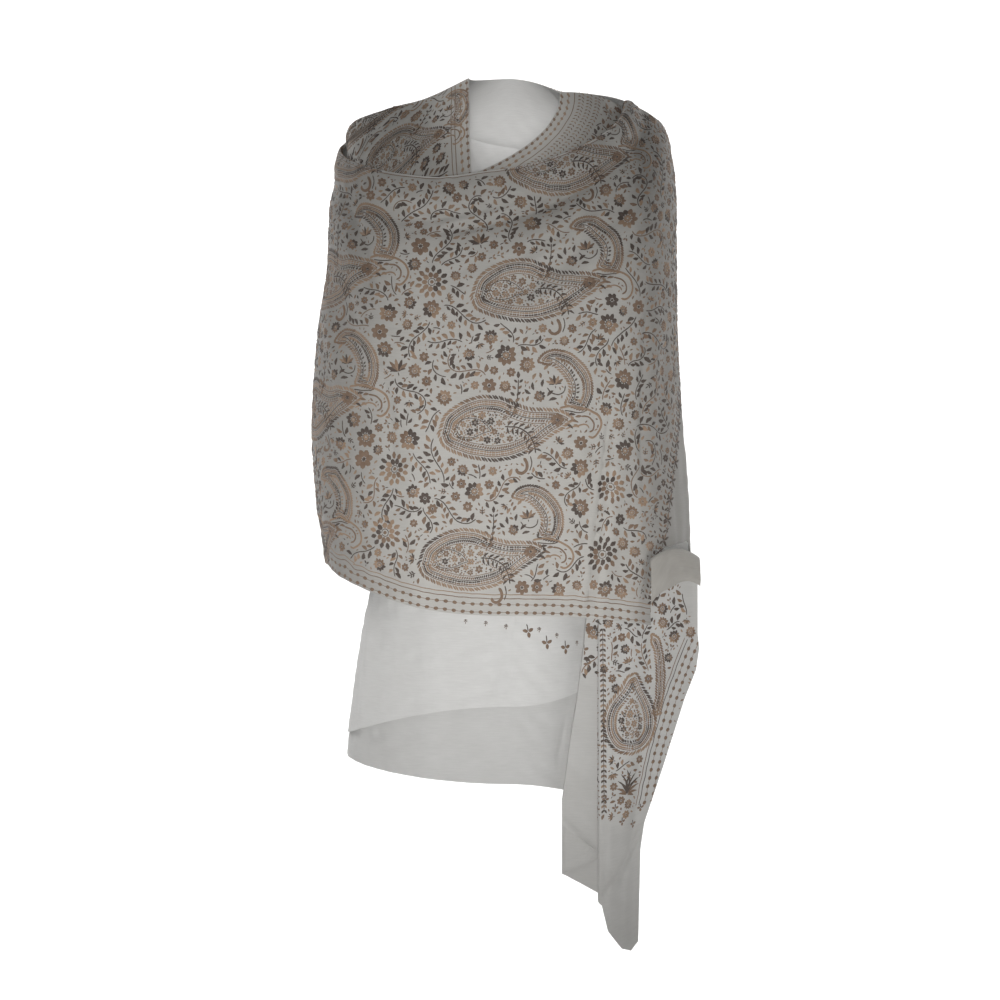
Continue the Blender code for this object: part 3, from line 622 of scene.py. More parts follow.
    def chart(self, u, v):
        """Chart places of the surface places (u, v)."""
        i = np.interp(u, self.us, np.arange(len(self.us)))
        j = np.interp(v, self.vs, np.arange(len(self.vs)))
        i, j = np.broadcast_arrays(np.atleast_1d(i), np.atleast_1d(j))
        return np.stack((self._read(self.across, i, j), self._read(self.up, i, j)), axis=1)


def from_wearer(points):
    """Away from a place inside the chest, for the parts that lie on the shoulders."""
    return points - np.array(CHEST)


def to_front(points):
    return np.broadcast_to(np.array((0, -1.0, 0)), points.shape)


# ------------------------------------------------------------------ meshes
SHARP = 60              # degrees


def new_object(name, verts, faces, uv, kinds, materials, smooth=True):
    """An object of quads and triangles; faces holds 4 indices, the last -1 in a triangle."""
    mesh = bpy.data.meshes.new(name)
    faces = np.asarray(faces, int)
    sides = np.where(faces[:, 3] < 0, 3, 4)
    starts = np.concatenate(((0,), np.cumsum(sides)[:-1]))
    loops = faces[faces >= 0]
    mesh.vertices.add(len(verts))
    mesh.vertices.foreach_set("co", np.asarray(verts, np.float32).ravel())
    mesh.loops.add(len(loops))
    mesh.loops.foreach_set("vertex_index", loops.astype(np.int32))
    mesh.polygons.add(len(faces))
    mesh.polygons.foreach_set("loop_start", starts.astype(np.int32))
    mesh.polygons.foreach_set("material_index", np.asarray(kinds, np.int32))
    mesh.polygons.foreach_set("use_smooth", np.full(len(faces), smooth))
    layer = mesh.uv_layers.new(name="flat")
    layer.data.foreach_set("uv", np.asarray(uv, np.float32)[loops].ravel())
    for material in materials:
        mesh.materials.append(material)
    mesh.update(calc_edges=True)
    mesh.validate()
    made = bpy.data.objects.new(name, mesh)
    bpy.context.scene.collection.objects.link(made)
    return made


def shell(cloth, materials, active=None):
    """Closed thin shell on a cloth's grid; `active` drops cells of the grid.

    The second material, if there is one, is for the inner face.
    """
    n, m = cloth.across.shape
    if active is None:
        active = np.ones((n - 1, m - 1), bool)
    index = np.arange(n * m).reshape(n, m)
    a, b = index[:-1, :-1], index[1:, :-1]
    c, d = index[1:, 1:], index[:-1, 1:]
    quads = np.stack((a, b, c, d), axis=-1)[active]
    turn = np.cross(cloth.points[1:, :-1] - cloth.points[:-1, :-1],
                    cloth.points[:-1, 1:] - cloth.points[:-1, :-1])
    if np.sum(turn * cloth.normals[:-1, :-1]) < 0:
        quads = quads[:, ::-1]
    edges = np.concatenate([quads[:, (k, (k + 1) % 4)] for k in range(4)])
    key = np.sort(edges, axis=1)
    _, first, count = np.unique(key[:, 0] * n * m + key[:, 1], return_index=True,
                                return_counts=True)
    rim = edges[first[count == 1]]
    total = n * m
    faces = np.concatenate((quads, quads[:, ::-1] + total,
                            np.stack((rim[:, 1], rim[:, 0], rim[:, 0] + total,
                                      rim[:, 1] + total), axis=1)))
    half = cloth.normals * CLOTH / 2
    verts = np.concatenate(((cloth.points + half).reshape(-1, 3),
                            (cloth.points - half).reshape(-1, 3)))
    uv = np.stack((cloth.across.ravel(), cloth.up.ravel()), axis=1)
    uv = np.concatenate((uv, uv))
    used = np.unique(faces)
    place = np.full(len(verts), -1)
    place[used] = np.arange(len(used))
    kinds = np.zeros(len(faces), int)
    kinds[len(quads):2 * len(quads)] = len(materials) - 1
    made = new_object(cloth.name + "_cloth", verts[used], place[faces], uv[used], kinds, materials)
    made.data.set_sharp_from_angle(angle=math.radians(SHARP))
    return made


def sheet_area(points, active=None):
    a = points[1:, 1:] - points[:-1, :-1]
    b = points[1:, :-1] - points[:-1, 1:]
    cell = np.linalg.norm(np.cross(a, b), axis=-1) / 2
    return float(cell.sum() if active is None else cell[active].sum())


# --------------------------------------------------------------- materials
Look = namedtuple("Look", "colour second mottle roughness")
WOOL = Look((.420, .408, .384), (.398, .385, .360), .030, .86)
# The looks from here to the cuff are the one ground wool of WOOL in lit and shaded copies: painted light
# on the upper ply and the neck, and painted shade, darker than the upper ply, on the low ply, the hanging
# end and the cuff.
UPPER_PLY_PAINTED_LIGHT = Look((.555, .551, .538), (.535, .530, .516), .040, .84)
LOW_PLY_PAINTED_SHADE = Look((.490, .486, .474), (.466, .461, .448), .045, .84)
HANGING_PAINTED_SHADE = Look((.445, .438, .422), (.420, .412, .395), .045, .84)
NECK_PAINTED_LIGHT = Look((.680, .675, .662), (.650, .644, .630), .040, .84)
CUFF_PAINTED_SHADE = Look((.345, .330, .303), (.315, .300, .275), .018, .86)
DARK_THREAD = Look((.075, .058, .049), (.108, .086, .073), .006, .62)
BROWN_THREAD = Look((.175, .118, .084), (.215, .150, .108), .007, .60)
TAN_THREAD = Look((.305, .214, .148), (.262, .184, .128), .008, .58)
SHEEN = .10
TWILL = .0011           # between the diagonal ribs of the twill, and their depth
TWILL_DEPTH = .00012
TWILL_SLANT = 42        # degrees
SLUB = (.018, .0016)    # length and width of a slub in the yarn
NAP = .0030             # grain of the soft nap
STITCH = .0013          # between the stitches of a worked line, and their depth
STITCH_DEPTH = .00025
STITCH_SLANT = 28
# Painted shade: across the front the colour deepens outside these places, down to `keep` of itself, for
# the shade where the cloth turns away towards its sides.
SideShade = namedtuple("SideShade", "low_from low_to high_from high_to keep")
FRONT_PAINTED_SIDE_SHADE = SideShade(-.110, -.250, .140, .200, .66)


def feed(tree, made, inputs):
    """Each input takes a plain value or another node's socket."""
    for key, value in inputs.items():
        if isinstance(value, bpy.types.NodeSocket):
            tree.links.new(value, made.inputs[key])
        else:
            made.inputs[key].default_value = value


def node(tree, kind, inputs, **settings):
    made = tree.nodes.new(kind)
    for key, value in settings.items():
        setattr(made, key, value)
    feed(tree, made, inputs)
    return made


def new_material(name, inputs):
    material = bpy.data.materials.new(name)
    material.use_nodes = True
    tree = material.node_tree
    shader = tree.nodes["Principled BSDF"]
    feed(tree, shader, inputs)
    return material, tree, shader


def fabric(name, look):
    return new_material(name, {"Roughness": look.roughness, "Sheen Weight": SHEEN, "Sheen Roughness": .45,
                               "Specular IOR Level": .25})


def noise(tree, where, scale, detail):
    made = node(tree, "ShaderNodeTexNoise", {"Vector": where, "Scale": scale, "Detail": detail})
    return made.outputs["Fac"]


def stripes(tree, where, slant, pitch, inputs):
    """Even stripes `pitch` apart, turned by `slant` degrees."""
    turned = node(tree, "ShaderNodeMapping", {"Vector": where, "Rotation": (0, 0, math.radians(slant))})
    made = node(tree, "ShaderNodeTexWave",
                {"Vector": turned.outputs["Vector"], "Scale": math.pi / pitch / 10, **inputs},
                wave_type="BANDS", bands_direction="X")
    return made.outputs["Fac"]


def added(tree, one, share, other):
    made = node(tree, "ShaderNodeMath", {0: one, 1: share, 2: other}, operation="MULTIPLY_ADD")
    return made.outputs["Value"]


def two_tones(tree, look, where):
    """Two close tones that wander into each other over the cloth."""
    ramp = node(tree, "ShaderNodeValToRGB", {"Fac": noise(tree, where, 1 / look.mottle, 4)})
    for stop, place, colour in zip(ramp.color_ramp.elements, (.32, .68), (look.second, look.colour)):
        stop.position = place
        stop.color = (*colour, 1)
    return ramp.outputs["Color"]


def darkened(tree, colour, by, share):
    made = node(tree, "ShaderNodeMix", {}, data_type="RGBA", blend_type="MULTIPLY")
    feed(tree, made, {"Factor": share, "A": colour, "B": by})
    return made.outputs["Result"]


def raised(tree, height, strength, depth):
    made = node(tree, "ShaderNodeBump", {"Height": height, "Strength": strength, "Distance": depth})
    return made.outputs["Normal"]


def painted_side_shade(tree, where, colour, sides):
    """Painted shade: the colour deepens towards both sides of the cloth, low and high across, where it
    turns away from the light.
    """
    across = node(tree, "ShaderNodeSeparateXYZ", {"Vector": where}).outputs["X"]
    low, high = (
        node(tree, "ShaderNodeMapRange", {"Value": across, "From Min": start, "From Max": end,
                                          "To Min": 1.0, "To Max": sides.keep},
             interpolation_type="SMOOTHSTEP").outputs["Result"]
        for start, end in ((sides.low_from, sides.low_to), (sides.high_from, sides.high_to)))
    both = node(tree, "ShaderNodeMath", {0: low, 1: high}, operation="MULTIPLY").outputs["Value"]
    made = node(tree, "ShaderNodeVectorMath", {}, operation="SCALE")
    feed(tree, made, {"Vector": colour, "Scale": both})
    return made.outputs["Vector"]


def wool(name, look, twill=TWILL, depth=TWILL_DEPTH, sides=None):
    """Fine twill: diagonal ribs, slubs along the yarn, and a soft nap; `sides` adds painted shade towards
    the cloth's sides.
    """
    material, tree, shader = fabric(name, look)
    flat = node(tree, "ShaderNodeUVMap", {}, uv_map="flat").outputs["UV"]
    ribs = stripes(tree, flat, TWILL_SLANT, twill, {"Distortion": 1.2, "Detail": 2, "Detail Scale": 3})
    slubs = node(tree, "ShaderNodeMapping", {"Vector": flat, "Scale": (1 / SLUB[0], 1 / SLUB[1], 1)})
    yarn = noise(tree, slubs.outputs["Vector"], 1, 3)
    weave = added(tree, ribs, .6, yarn)
    height = added(tree, noise(tree, flat, 1 / NAP, 5), 1.4, weave)
    colour = darkened(tree, two_tones(tree, look, flat), yarn, .16)
    # painted shade towards both sides of the cloth
    if sides:
        colour = painted_side_shade(tree, flat, colour, sides)
    feed(tree, shader, {"Normal": raised(tree, height, .55, depth), "Base Color": colour})
    return material


def thread(name, look):
    """Twisted wool thread: slanting stitches across the line, with painted shade in the grooves between
    them, uneven dye along it.
    """
    material, tree, shader = fabric(name, look)
    flat = node(tree, "ShaderNodeUVMap", {}, uv_map="flat").outputs["UV"]
    loops = stripes(tree, flat, STITCH_SLANT, STITCH, {"Distortion": 1.5})
    place = node(tree, "ShaderNodeTexCoord", {}).outputs["Object"]
    # the colour is darkened in the grooves between the stitches: painted shade
    feed(tree, shader, {"Normal": raised(tree, loops, .8, STITCH_DEPTH),
                        "Base Color": darkened(tree, two_tones(tree, look, place), loops, .22)})
    return material


wool_ground = wool("embroidered_ground", WOOL)
# the front's ground, with painted shade towards its sides
front_ground_painted_side_shade = wool("front_ground_painted_side_shade", WOOL, sides=FRONT_PAINTED_SIDE_SHADE)
# Lit and shaded copies of the one ground wool: painted light and shade on each part.
upper_ply_painted_light_ground = wool("plain_ground_painted_light", UPPER_PLY_PAINTED_LIGHT)
neck_ground_painted_light = wool("neck_ground_painted_light", NECK_PAINTED_LIGHT)
low_ply_painted_shade_ground = wool("low_ply_ground_painted_shade", LOW_PLY_PAINTED_SHADE)
hanging_painted_shade_ground = wool("hanging_ground_painted_shade", HANGING_PAINTED_SHADE)
cuff_ground_painted_shade = wool("cuff_ground_painted_shade", CUFF_PAINTED_SHADE, .0022, .00045)
THREADS = (thread("dark_thread", DARK_THREAD), thread("brown_thread", BROWN_THREAD),
           thread("tan_thread", TAN_THREAD))
DARK, BROWN, TAN = range(3)


# ------------------------------------------------------------------- cloths
def steps(start, end, cells):
    return np.linspace(start, end, cells + 1)


def joined(knots, cells):
    """Steps from knot to knot, each stretch with its own number of cells."""
    parts = [steps(start, end, count)[:-1] for start, end, count in zip(knots, knots[1:], cells)]
    return np.concatenate((*parts, knots[-1:]))


CHEST_TOP = .165        # "down" of the front where its rolled edge ends
FRONT_U = FRONT / 100
SEAM_U = SIDE_SEAM / 100
WRAP_U = WRAP_END / 100
FIRST_U = SIDE_START / 100
LAST_U = SIDE_END / 100
# Each with its surface, its grid, where its chart starts and the way it faces.
front = Cloth("front_wrap", front_and_arm, joined((WRAP_U, SEAM_U, -FIRST_U), (186, 40)),
              joined((0, CHEST_TOP, ARM_SIDE_BOTTOM, 1), (34, 90, 18)), FRONT_U, CHEST_TOP, from_middle)
back = Cloth("back", creased_back, steps(FIRST_U, LAST_U, 130), steps(0, 1, 120), .90, .20, from_middle)
shoulder = Cloth("right_shoulder", creased_rings(RIGHT_FALL_RINGS, ()), steps(-LAST_U, -.92, 52),
                 steps(0, 1, 44), -.92, 0, from_wearer, level=False)
flap = Cloth("left_flap", creased_rings(LEFT_FLAP_RINGS, ()), steps(-.84, -FIRST_U, 52),
             steps(0, 1, 40), -.84, 0, from_wearer, level=False)
neck = Cloth("neck", creased_rings(NECK_PLY_RINGS, ()), steps(-1.30, -.62, 36), steps(0, 1, 20),
             FRONT_U, 0, from_middle)
upper = Cloth("under_upper", creased_rings(UNDER_UPPER_RINGS, UNDER_FOLDS), steps(-1.95, -.30, 100),
              steps(0, 1, 44), FRONT_U, 0, from_middle)
lower = Cloth("under_lower", creased_rings(UNDER_LOWER_RINGS, UNDER_FOLDS), steps(-1.95, -.37, 96),
              steps(0, 1, 34), FRONT_U, 0, from_middle)
hanging = Cloth("hanging_end", creased_end, joined((0, 1, END_TURNED_U, END_LAST_U), (40, 12, 8)),
                steps(0, 1, 100), 1, 0, to_front)
pleats = Cloth("pleats", creased_pleats,
               joined((0, 1 - PLEAT_TURN, 1 + PLEAT_TURN, 2 - PLEAT_TURN, 2 + PLEAT_TURN, 3),
                      (8, 10, 8, 10, 8)), steps(0, 1, 70), 0, 0, to_front)
cuff = Cloth("cuff", cuff_cloth, steps(0, 1, 40), steps(0, 1, 44), 0, 0, from_middle)


# ------------------------------------------------------------- needlework
NET = .001              # cell of the map that says where thread already lies
RUN_STEP = .0022        # between stations of a stitched line
LEAF_STATIONS = (.24, .52, .80)
SUNK = -.00015          # the edges of a stitch lie this deep in the nap
TAPER = .35             # share of its width that a line has at its ends
FITS = .86              # share of an inset that must be free for a stitch to fit
NET_EDGE = .01          # the map goes on this far past the cloth
STEM = 1.8              # width of a stem, in a motif's millimetres
ROOM = .0003            # bare ground left round a stitch
CLOSE = .80             # small motifs may come this much closer than their radius


def facing(angle):
    """Unit step at an angle in radians."""
    return np.array((math.cos(angle), math.sin(angle)))


def ways(path):
    """Unit steps along a path, and to its left."""
    way = np.gradient(path, axis=0)
    way /= np.maximum(np.linalg.norm(way, axis=1, keepdims=True), TINY)
    return way, np.stack((-way[:, 1], way[:, 0]), axis=1)


def curve(points, step=RUN_STEP):
    """Evenly spaced points on a smooth curve through a few points."""
    points = np.asarray(points, float)
    gaps = np.linalg.norm(np.diff(points, axis=0), axis=1)
    knots = np.concatenate(((0,), np.cumsum(np.maximum(gaps, 1e-6))))
    fine = np.linspace(0, knots[-1], max(4 * len(points), int(knots[-1] / step) * 2 + 4))
    path = np.stack([spline(fine, knots, points[:, k]) for k in (0, 1)], axis=1)
    gaps = np.linalg.norm(np.diff(path, axis=0), axis=1)
    walked = np.concatenate(((0,), np.cumsum(gaps)))
    at = np.linspace(0, walked[-1], max(3, int(round(walked[-1] / step)) + 1))
    return np.stack([np.interp(at, walked, path[:, k]) for k in (0, 1)], axis=1)


class Outline:
    """A closed motif outline: even points, inward normals and way round."""

    def __init__(self, points, step=.0012):
        closed = np.concatenate((points, points[:1]))
        self.points = curve(closed, step)[:-1]
        nxt = np.roll(self.points, -1, axis=0)
        along = nxt - np.roll(self.points, 1, axis=0)
        along /= np.linalg.norm(along, axis=1, keepdims=True)
        x, y = self.points.T
        area = np.sum(x * np.roll(y, -1) - y * np.roll(x, -1)) / 2
        self.along = along
        self.inward = np.stack((-along[:, 1], along[:, 0]), axis=1) * np.sign(area)
        self.way = np.concatenate(((0,), np.cumsum(np.linalg.norm(nxt - self.points, axis=1))))

    def stations(self, inset, pitch):
        """Index of outline points about `pitch` apart where `inset` still fits inside."""
        count = max(4, int(self.way[-1] / pitch))
        at = np.searchsorted(self.way[1:], np.arange(count) * self.way[-1] / count)
        moved = self.points[at] + self.inward[at] * inset
        gap = np.linalg.norm(moved[:, None] - self.points[None], axis=2).min(1)
        return at[gap > FITS * inset]

    def holds(self, points, inset=0.0):
        """Whether points are inside, at least `inset` from the outline."""
        x, y = points[:, 0:1], points[:, 1:2]
        x0, y0 = self.points.T
        x1, y1 = np.roll(self.points, -1, axis=0).T
        cut = (y0 > y) != (y1 > y)
        rise = np.where(np.abs(y1 - y0) < TINY, TINY, y1 - y0)
        odd = np.sum(cut & (x < (x1 - x0) * (y - y0) / rise + x0), axis=1) % 2 == 1
        if not inset:
            return odd
        return odd & (np.linalg.norm(points[:, None] - self.points[None], axis=2).min(1) > inset)


LEAF_COLUMNS = [(0, 0)] + [(k, s) for k in (1, 2, 3) for s in (-1, 0, 1)] + [(4, 0)]
LEAF_FACES = np.array(((0, 1, 2, -1), (0, 2, 3, -1), (1, 4, 5, 2), (2, 5, 6, 3),
                       (4, 7, 8, 5), (5, 8, 9, 6), (7, 10, 8, -1), (8, 10, 9, -1)))
LEAF_RISE = (.12, .00025, .0008)  # share of its width, what is added, and the most
Stitched = namedtuple("Stitched", "flat height faces tones uv owner")


class Needlework:
    """Raised stitches on one cloth, collected on its chart, and a map of them."""

    def __init__(self, cloth, name, seed):
        self.cloth = cloth
        self.name = name
        self.leaves = []
        self.runs = []
        self.chance = np.random.default_rng(seed)
        self.low = np.array((cloth.across.min(), cloth.up.min())) - NET_EDGE
        high = np.array((cloth.across.max(), cloth.up.max())) + NET_EDGE
        self.net = np.zeros(np.ceil((high - self.low) / NET).astype(int) + 1, bool)
        self.discs = {}
        self.take_where(~cloth.locate(self.centres().reshape(-1, 2))[2].reshape(self.net.shape))

    # ---- the map
    def cells(self, points, radius):
        reach = int(round(radius / NET * 2))
        if reach not in self.discs:
            k = np.arange(-(reach // 2) - 1, reach // 2 + 2)
            dx, dy = np.meshgrid(k, k)
            keep = dx ** 2 + dy ** 2 <= (reach / 2) ** 2 + .3
            self.discs[reach] = np.stack((dx[keep], dy[keep]), axis=-1)
        near = np.rint((np.atleast_2d(points) - self.low) / NET).astype(int)
        near = (near[:, None] + self.discs[reach][None]).reshape(-1, 2)
        return np.clip(near, 0, np.array(self.net.shape) - 1)

    def free(self, points, radius):
        near = self.cells(points, radius)
        return not self.net[near[:, 0], near[:, 1]].any()

    def take(self, points, radius):
        near = self.cells(points, radius)
        self.net[near[:, 0], near[:, 1]] = True

    def centres(self):
        a = self.low[0] + NET * np.arange(self.net.shape[0])
        h = self.low[1] + NET * np.arange(self.net.shape[1])
        return np.stack(np.meshgrid(a, h, indexing="ij"), axis=-1)

    def take_where(self, mask):
        self.net |= mask

    # ---- stitches, in chart coordinates
    def leaf(self, x, y, angle, length, width, tone, bend=0.0, full=0.0, take=True):
        """A filled leaf from its foot (x, y); full goes from a pointed leaf to an oval bead."""
        self.leaves.append((x, y, angle, length, width, bend, full, tone))
        if take:
            t = np.array((.12, .5, .88))[:, None] * length
            spots = np.array((x, y)) + t * facing(angle)
            self.take(spots, width / 2 + ROOM)

    def run(self, points, width, tone, height=.0005, take=True, step=RUN_STEP):
        path = curve(points, step)
        widths = np.full(len(path), width)
        widths[[0, -1]] *= TAPER
        self.runs.append((path, widths, tone, height))
        if take:
            self.take(path, width / 2 + ROOM)
        return path

    # ---- laying it on the cloth
    def leaf_mesh(self):
        """All leaves at once, each from a pointed foot over three stations to its tip."""
        x, y, angle, length, width, bend, full, tone = np.array(self.leaves).T
        t = np.array((0, *LEAF_STATIONS, 1.0))
        sag = np.sin(math.pi * t)
        shape = sag[None] ** (1 - .55 * full[:, None])
        reach = length[:, None] * t[None]
        side = bend[:, None] * length[:, None] * sag[None]
        half = width[:, None] / 2 * shape
        share, extra, most = LEAF_RISE
        crest = np.minimum(share * width + extra, most)
        along = np.stack([reach[:, k] for k, _ in LEAF_COLUMNS], axis=1)
        off = np.stack([side[:, k] + s * half[:, k] for k, s in LEAF_COLUMNS], axis=1)
        up = np.stack([np.full(len(x), SUNK) if s or k in (0, 4) else crest
                       for k, s in LEAF_COLUMNS], axis=1)
        c, s = np.cos(angle)[:, None], np.sin(angle)[:, None]
        flat = np.stack((x[:, None] + along * c - off * s, y[:, None] + along * s + off * c), axis=-1)
        base = np.arange(len(x))[:, None, None] * len(LEAF_COLUMNS)
        faces = np.where(LEAF_FACES[None] < 0, -1, LEAF_FACES[None] + base)
        return Stitched(flat.reshape(-1, 2), up.ravel(), faces.reshape(-1, 4),
                        np.repeat(tone.astype(int), len(LEAF_FACES)),
                        np.stack((off, along), axis=-1).reshape(-1, 2), np.repeat(x, len(LEAF_FACES)))

    def run_mesh(self, path, widths, tone, rise):
        """A line as two strips that meet along its crest."""
        n = len(path)
        left = ways(path)[1] * (widths / 2)[:, None]
        flat = np.stack((path - left, path, path + left), axis=1).reshape(-1, 2)
        up = np.full((n, 3), SUNK)
        up[1:-1, 1] = rise
        walked = np.concatenate(((0,), np.cumsum(np.linalg.norm(np.diff(path, axis=0), axis=1))))
        uv = np.stack((np.tile((-1, 0, 1), (n, 1)) * widths[:, None] / 2,
                       np.repeat(walked[:, None], 3, axis=1)), axis=-1).reshape(-1, 2)
        k = np.arange(n - 1)[:, None] * 3
        faces = np.concatenate((k + (0, 3, 4, 1), k + (1, 4, 5, 2)))
        return Stitched(flat, up.ravel(), faces, np.full(len(faces), tone), uv,
                        np.full(len(faces), path[0, 0]))

    def mesh(self, cuts=()):
        """The stitches as one object, or more, split at the `cuts` across."""
        parts = [self.leaf_mesh()] if self.leaves else []
        parts += [self.run_mesh(*one) for one in self.runs]
        first = np.cumsum([0] + [len(one.flat) for one in parts])
        faces = np.concatenate([np.where(one.faces < 0, -1, one.faces + start)
                                for one, start in zip(parts, first)])
        flat, height, kinds, uv, owner = (np.concatenate([getattr(one, field) for one in parts])
                                          for field in ("flat", "height", "tones", "uv", "owner"))
        part = np.digitize(owner, cuts)
        verts, on = self.cloth.lift(flat, height)
        keep = np.all(on[faces] | (faces < 0), axis=1)
        faces, kinds, part = faces[keep], kinds[keep], part[keep]
        if self.cloth.handed < 0:
            three = faces[:, 3] < 0
            faces[three] = faces[three][:, (2, 1, 0, 3)]
            faces[~three] = faces[~three][:, ::-1]
        made = []
        for k in range(len(cuts) + 1):
            mine = faces[part == k]
            used = np.unique(mine[mine >= 0])
            place = np.full(len(verts) + 1, -1)
            place[used] = np.arange(len(used))
            name = self.name + (f"_{k + 1}" if len(cuts) else "")
            made.append(new_object(name, verts[used], place[mine], uv[used], kinds[part == k], THREADS))
        return made


class Pen:
    """Draws in a motif's own millimetres, placed, turned and mirrored on the chart."""

    def __init__(self, work, x, y, turn=0.0, size=1.0, mirror=False):
        self.work = work
        self.at = np.array((x, y))
        self.turn = math.radians(turn)
        self.unit = .001 * size
        self.flip = -1.0 if mirror else 1.0

    def spots(self, points):
        points = np.atleast_2d(np.asarray(points, float)) * (self.flip * self.unit, self.unit)
        c, s = math.cos(self.turn), math.sin(self.turn)
        return self.at + np.stack((points[:, 0] * c - points[:, 1] * s,
                                   points[:, 0] * s + points[:, 1] * c), axis=1)

    def leaf(self, x, y, angle, length, width, tone, bend=0.0, full=0.0, take=True):
        spot = self.spots((x, y))[0]
        angle = math.radians(angle)
        angle = (math.pi - angle if self.flip < 0 else angle) + self.turn
        self.work.leaf(*spot, angle, length * self.unit, width * self.unit, tone, bend * self.flip,
                       full, take)

    def run(self, points, width, tone, **extra):
        return self.work.run(self.spots(points), width * self.unit, tone, **extra)

    def inner(self, x, y, turn=0.0):
        """A pen for a small motif inside this one."""
        spot = self.spots((x, y))[0]
        face = -turn if self.flip < 0 else turn
        return Pen(self.work, *spot, math.degrees(self.turn) + face, self.unit / .001, self.flip < 0)


# ------------------------------------------------------------ small motifs
def bead(pen, x, y, size, tone, angle=0.0, long=1.25):
    """A filled oval centred on (x, y)."""
    length = size * long
    c, s = math.cos(math.radians(angle)), math.sin(math.radians(angle))
    pen.leaf(x - c * length / 2, y - s * length / 2, angle, length, size, tone, full=1.0)


def ring_of(pen, radius, width, tone):
    points = [(radius * math.cos(t), radius * math.sin(t)) for t in np.linspace(0, 2 * math.pi, 9)]
    pen.run(points, width, tone, take=False, step=.0013)


def petals(pen, count, foot, length, width, tones, start=0.0, full=.4):
    """Petals round a middle; the tones follow each other round the flower."""
    for k in range(count):
        angle = start + 360 * k / count
        c, s = math.cos(math.radians(angle)), math.sin(math.radians(angle))
        tone = tones[int(k * len(tones) / count)]
        pen.leaf(foot * c, foot * s, angle, length * (1 if k % 2 else .86), width, tone, full=full)


def daisy(pen, radius, count, tones):
    """Full flower: close petals, a tan heart with a ring, and a dot."""
    petals(pen, count, .30 * radius, .72 * radius, radius * 5.4 / count, tones)
    petals(pen, 6, .05 * radius, .30 * radius, .26 * radius, (TAN, TAN), 20, .8)
    ring_of(pen, .30 * radius, max(.8, .09 * radius), tones[0])


def rosette(pen, radius, tone, middle, lobes=7):
    """Small round flower of overlapping scallops."""
    for k in range(lobes):
        angle = 360 * k / lobes
        c, s = math.cos(math.radians(angle)), math.sin(math.radians(angle))
        pen.leaf(.16 * radius * c, .16 * radius * s, angle, .86 * radius, radius * .72, tone, full=.9)
    bead(pen, 0, 0, .42 * radius, middle, long=1.0)


TULIP_PETALS = 5
TULIP_SPREAD = 118      # degrees


def tulip(pen, radius, tones):
    """Flower seen from the side, opening upwards, with sepals and a short stem."""
    for k in range(TULIP_PETALS):
        angle = 90 - TULIP_SPREAD / 2 + TULIP_SPREAD * k / (TULIP_PETALS - 1)
        pen.leaf(0, -.55 * radius, angle, 1.5 * radius, .52 * radius, tones[k % len(tones)], full=.3)
    for side in (-1, 1):
        pen.leaf(0, -.6 * radius, 90 - side * 82, radius, .34 * radius, DARK, bend=side * .18)
    pen.run(((0, -.6 * radius), (0, -1.1 * radius)), STEM, DARK)


def crown(pen, radius, tones):
    """Large full flower: pointed outer leaves, a ring of round petals and a heart."""
    petals(pen, 13, .58 * radius, .50 * radius, .34 * radius, tones, 0, .1)
    petals(pen, 9, .24 * radius, .46 * radius, .36 * radius, tones[1:] + tones[:1], 20, .8)
    ring_of(pen, .22 * radius, 1.2, DARK)
    bead(pen, 0, 0, .26 * radius, BROWN, long=1.0)


def sprig(pen, length, tone):
    """Short stem with paired leaves and one at its tip."""
    pen.run(((0, 0), (0, length * .75)), STEM, DARK)
    for k in range(2):
        y = length * (.18 + .25 * k)
        for side in (-1, 1):
            pen.leaf(side * .3, y, 90 - side * 52, length * .40, length * .20, tone)
    pen.leaf(0, length * .62, 90, length * .42, length * .21, tone)


def trefoil(pen, size, tone):
    """Three round leaves on a stem that hangs."""
    for angle in (-90, -205, 25):
        pen.leaf(0, -size * .5, angle, size * .80, size * .56, tone, full=.6)
    pen.run(((0, size * .6), (0, -size * .45)), STEM, DARK)


STEM_STEP = .002        # a growing stem's stride, and how far it stays off other work
STEM_CLEAR = .0012
STEM_LEAF = 10.8        # length of its leaves in millimetres, and what they stay off by
LEAF_CLEAR = .0011
STEM_FREE = 3           # strides before a stem looks out for other work
STEM_LEAST = 7          # a stem with fewer places than this isn't worked


def wander(work, x, y, heading, length, curl, tone, leaf_tones):
    """A stem that grows in a bow until it meets other work, with leaves on both sides.

    Returns its tip and heading, or None if there was no room for it.
    """
    path = [np.array((x, y))]
    headings = [heading]
    steps_wanted = int(length / STEM_STEP)
    for k in range(steps_wanted):
        heading += curl * math.cos(math.pi * 1.3 * k / steps_wanted) * .15
        spot = path[-1] + STEM_STEP * facing(heading)
        if k >= STEM_FREE and not work.free(spot, STEM_CLEAR):
            break
        path.append(spot)
        headings.append(heading)
    if len(path) < STEM_LEAST:
        return None
    side = 1
    leaves = []
    for k in range(2, len(path), 2):
        side = -side
        angle = headings[k] + side * .85
        size = .001 * STEM_LEAF * (.75 + .4 * work.chance.random())
        foot = path[k] + side * .0008 * np.array((-math.sin(headings[k]), math.cos(headings[k])))
        way = facing(angle)
        if all(work.free(foot + way * size * share, LEAF_CLEAR) for share in (.45, .85)):
            leaves.append((*foot, angle, size, size * .54,
                           leaf_tones[int(work.chance.integers(len(leaf_tones)))], side * .12))
    work.run(path[::2] + [path[-1]], .0018, tone)
    for one in leaves:
        work.leaf(*one)
    return path[-1], headings[-1]


PALETTE = ((DARK, BROWN, TAN), (BROWN, TAN, BROWN), (DARK, BROWN, BROWN), (TAN, BROWN, BROWN))
DARK_PALETTE = ((DARK, DARK, BROWN), (DARK, BROWN, DARK), (BROWN, DARK, DARK))


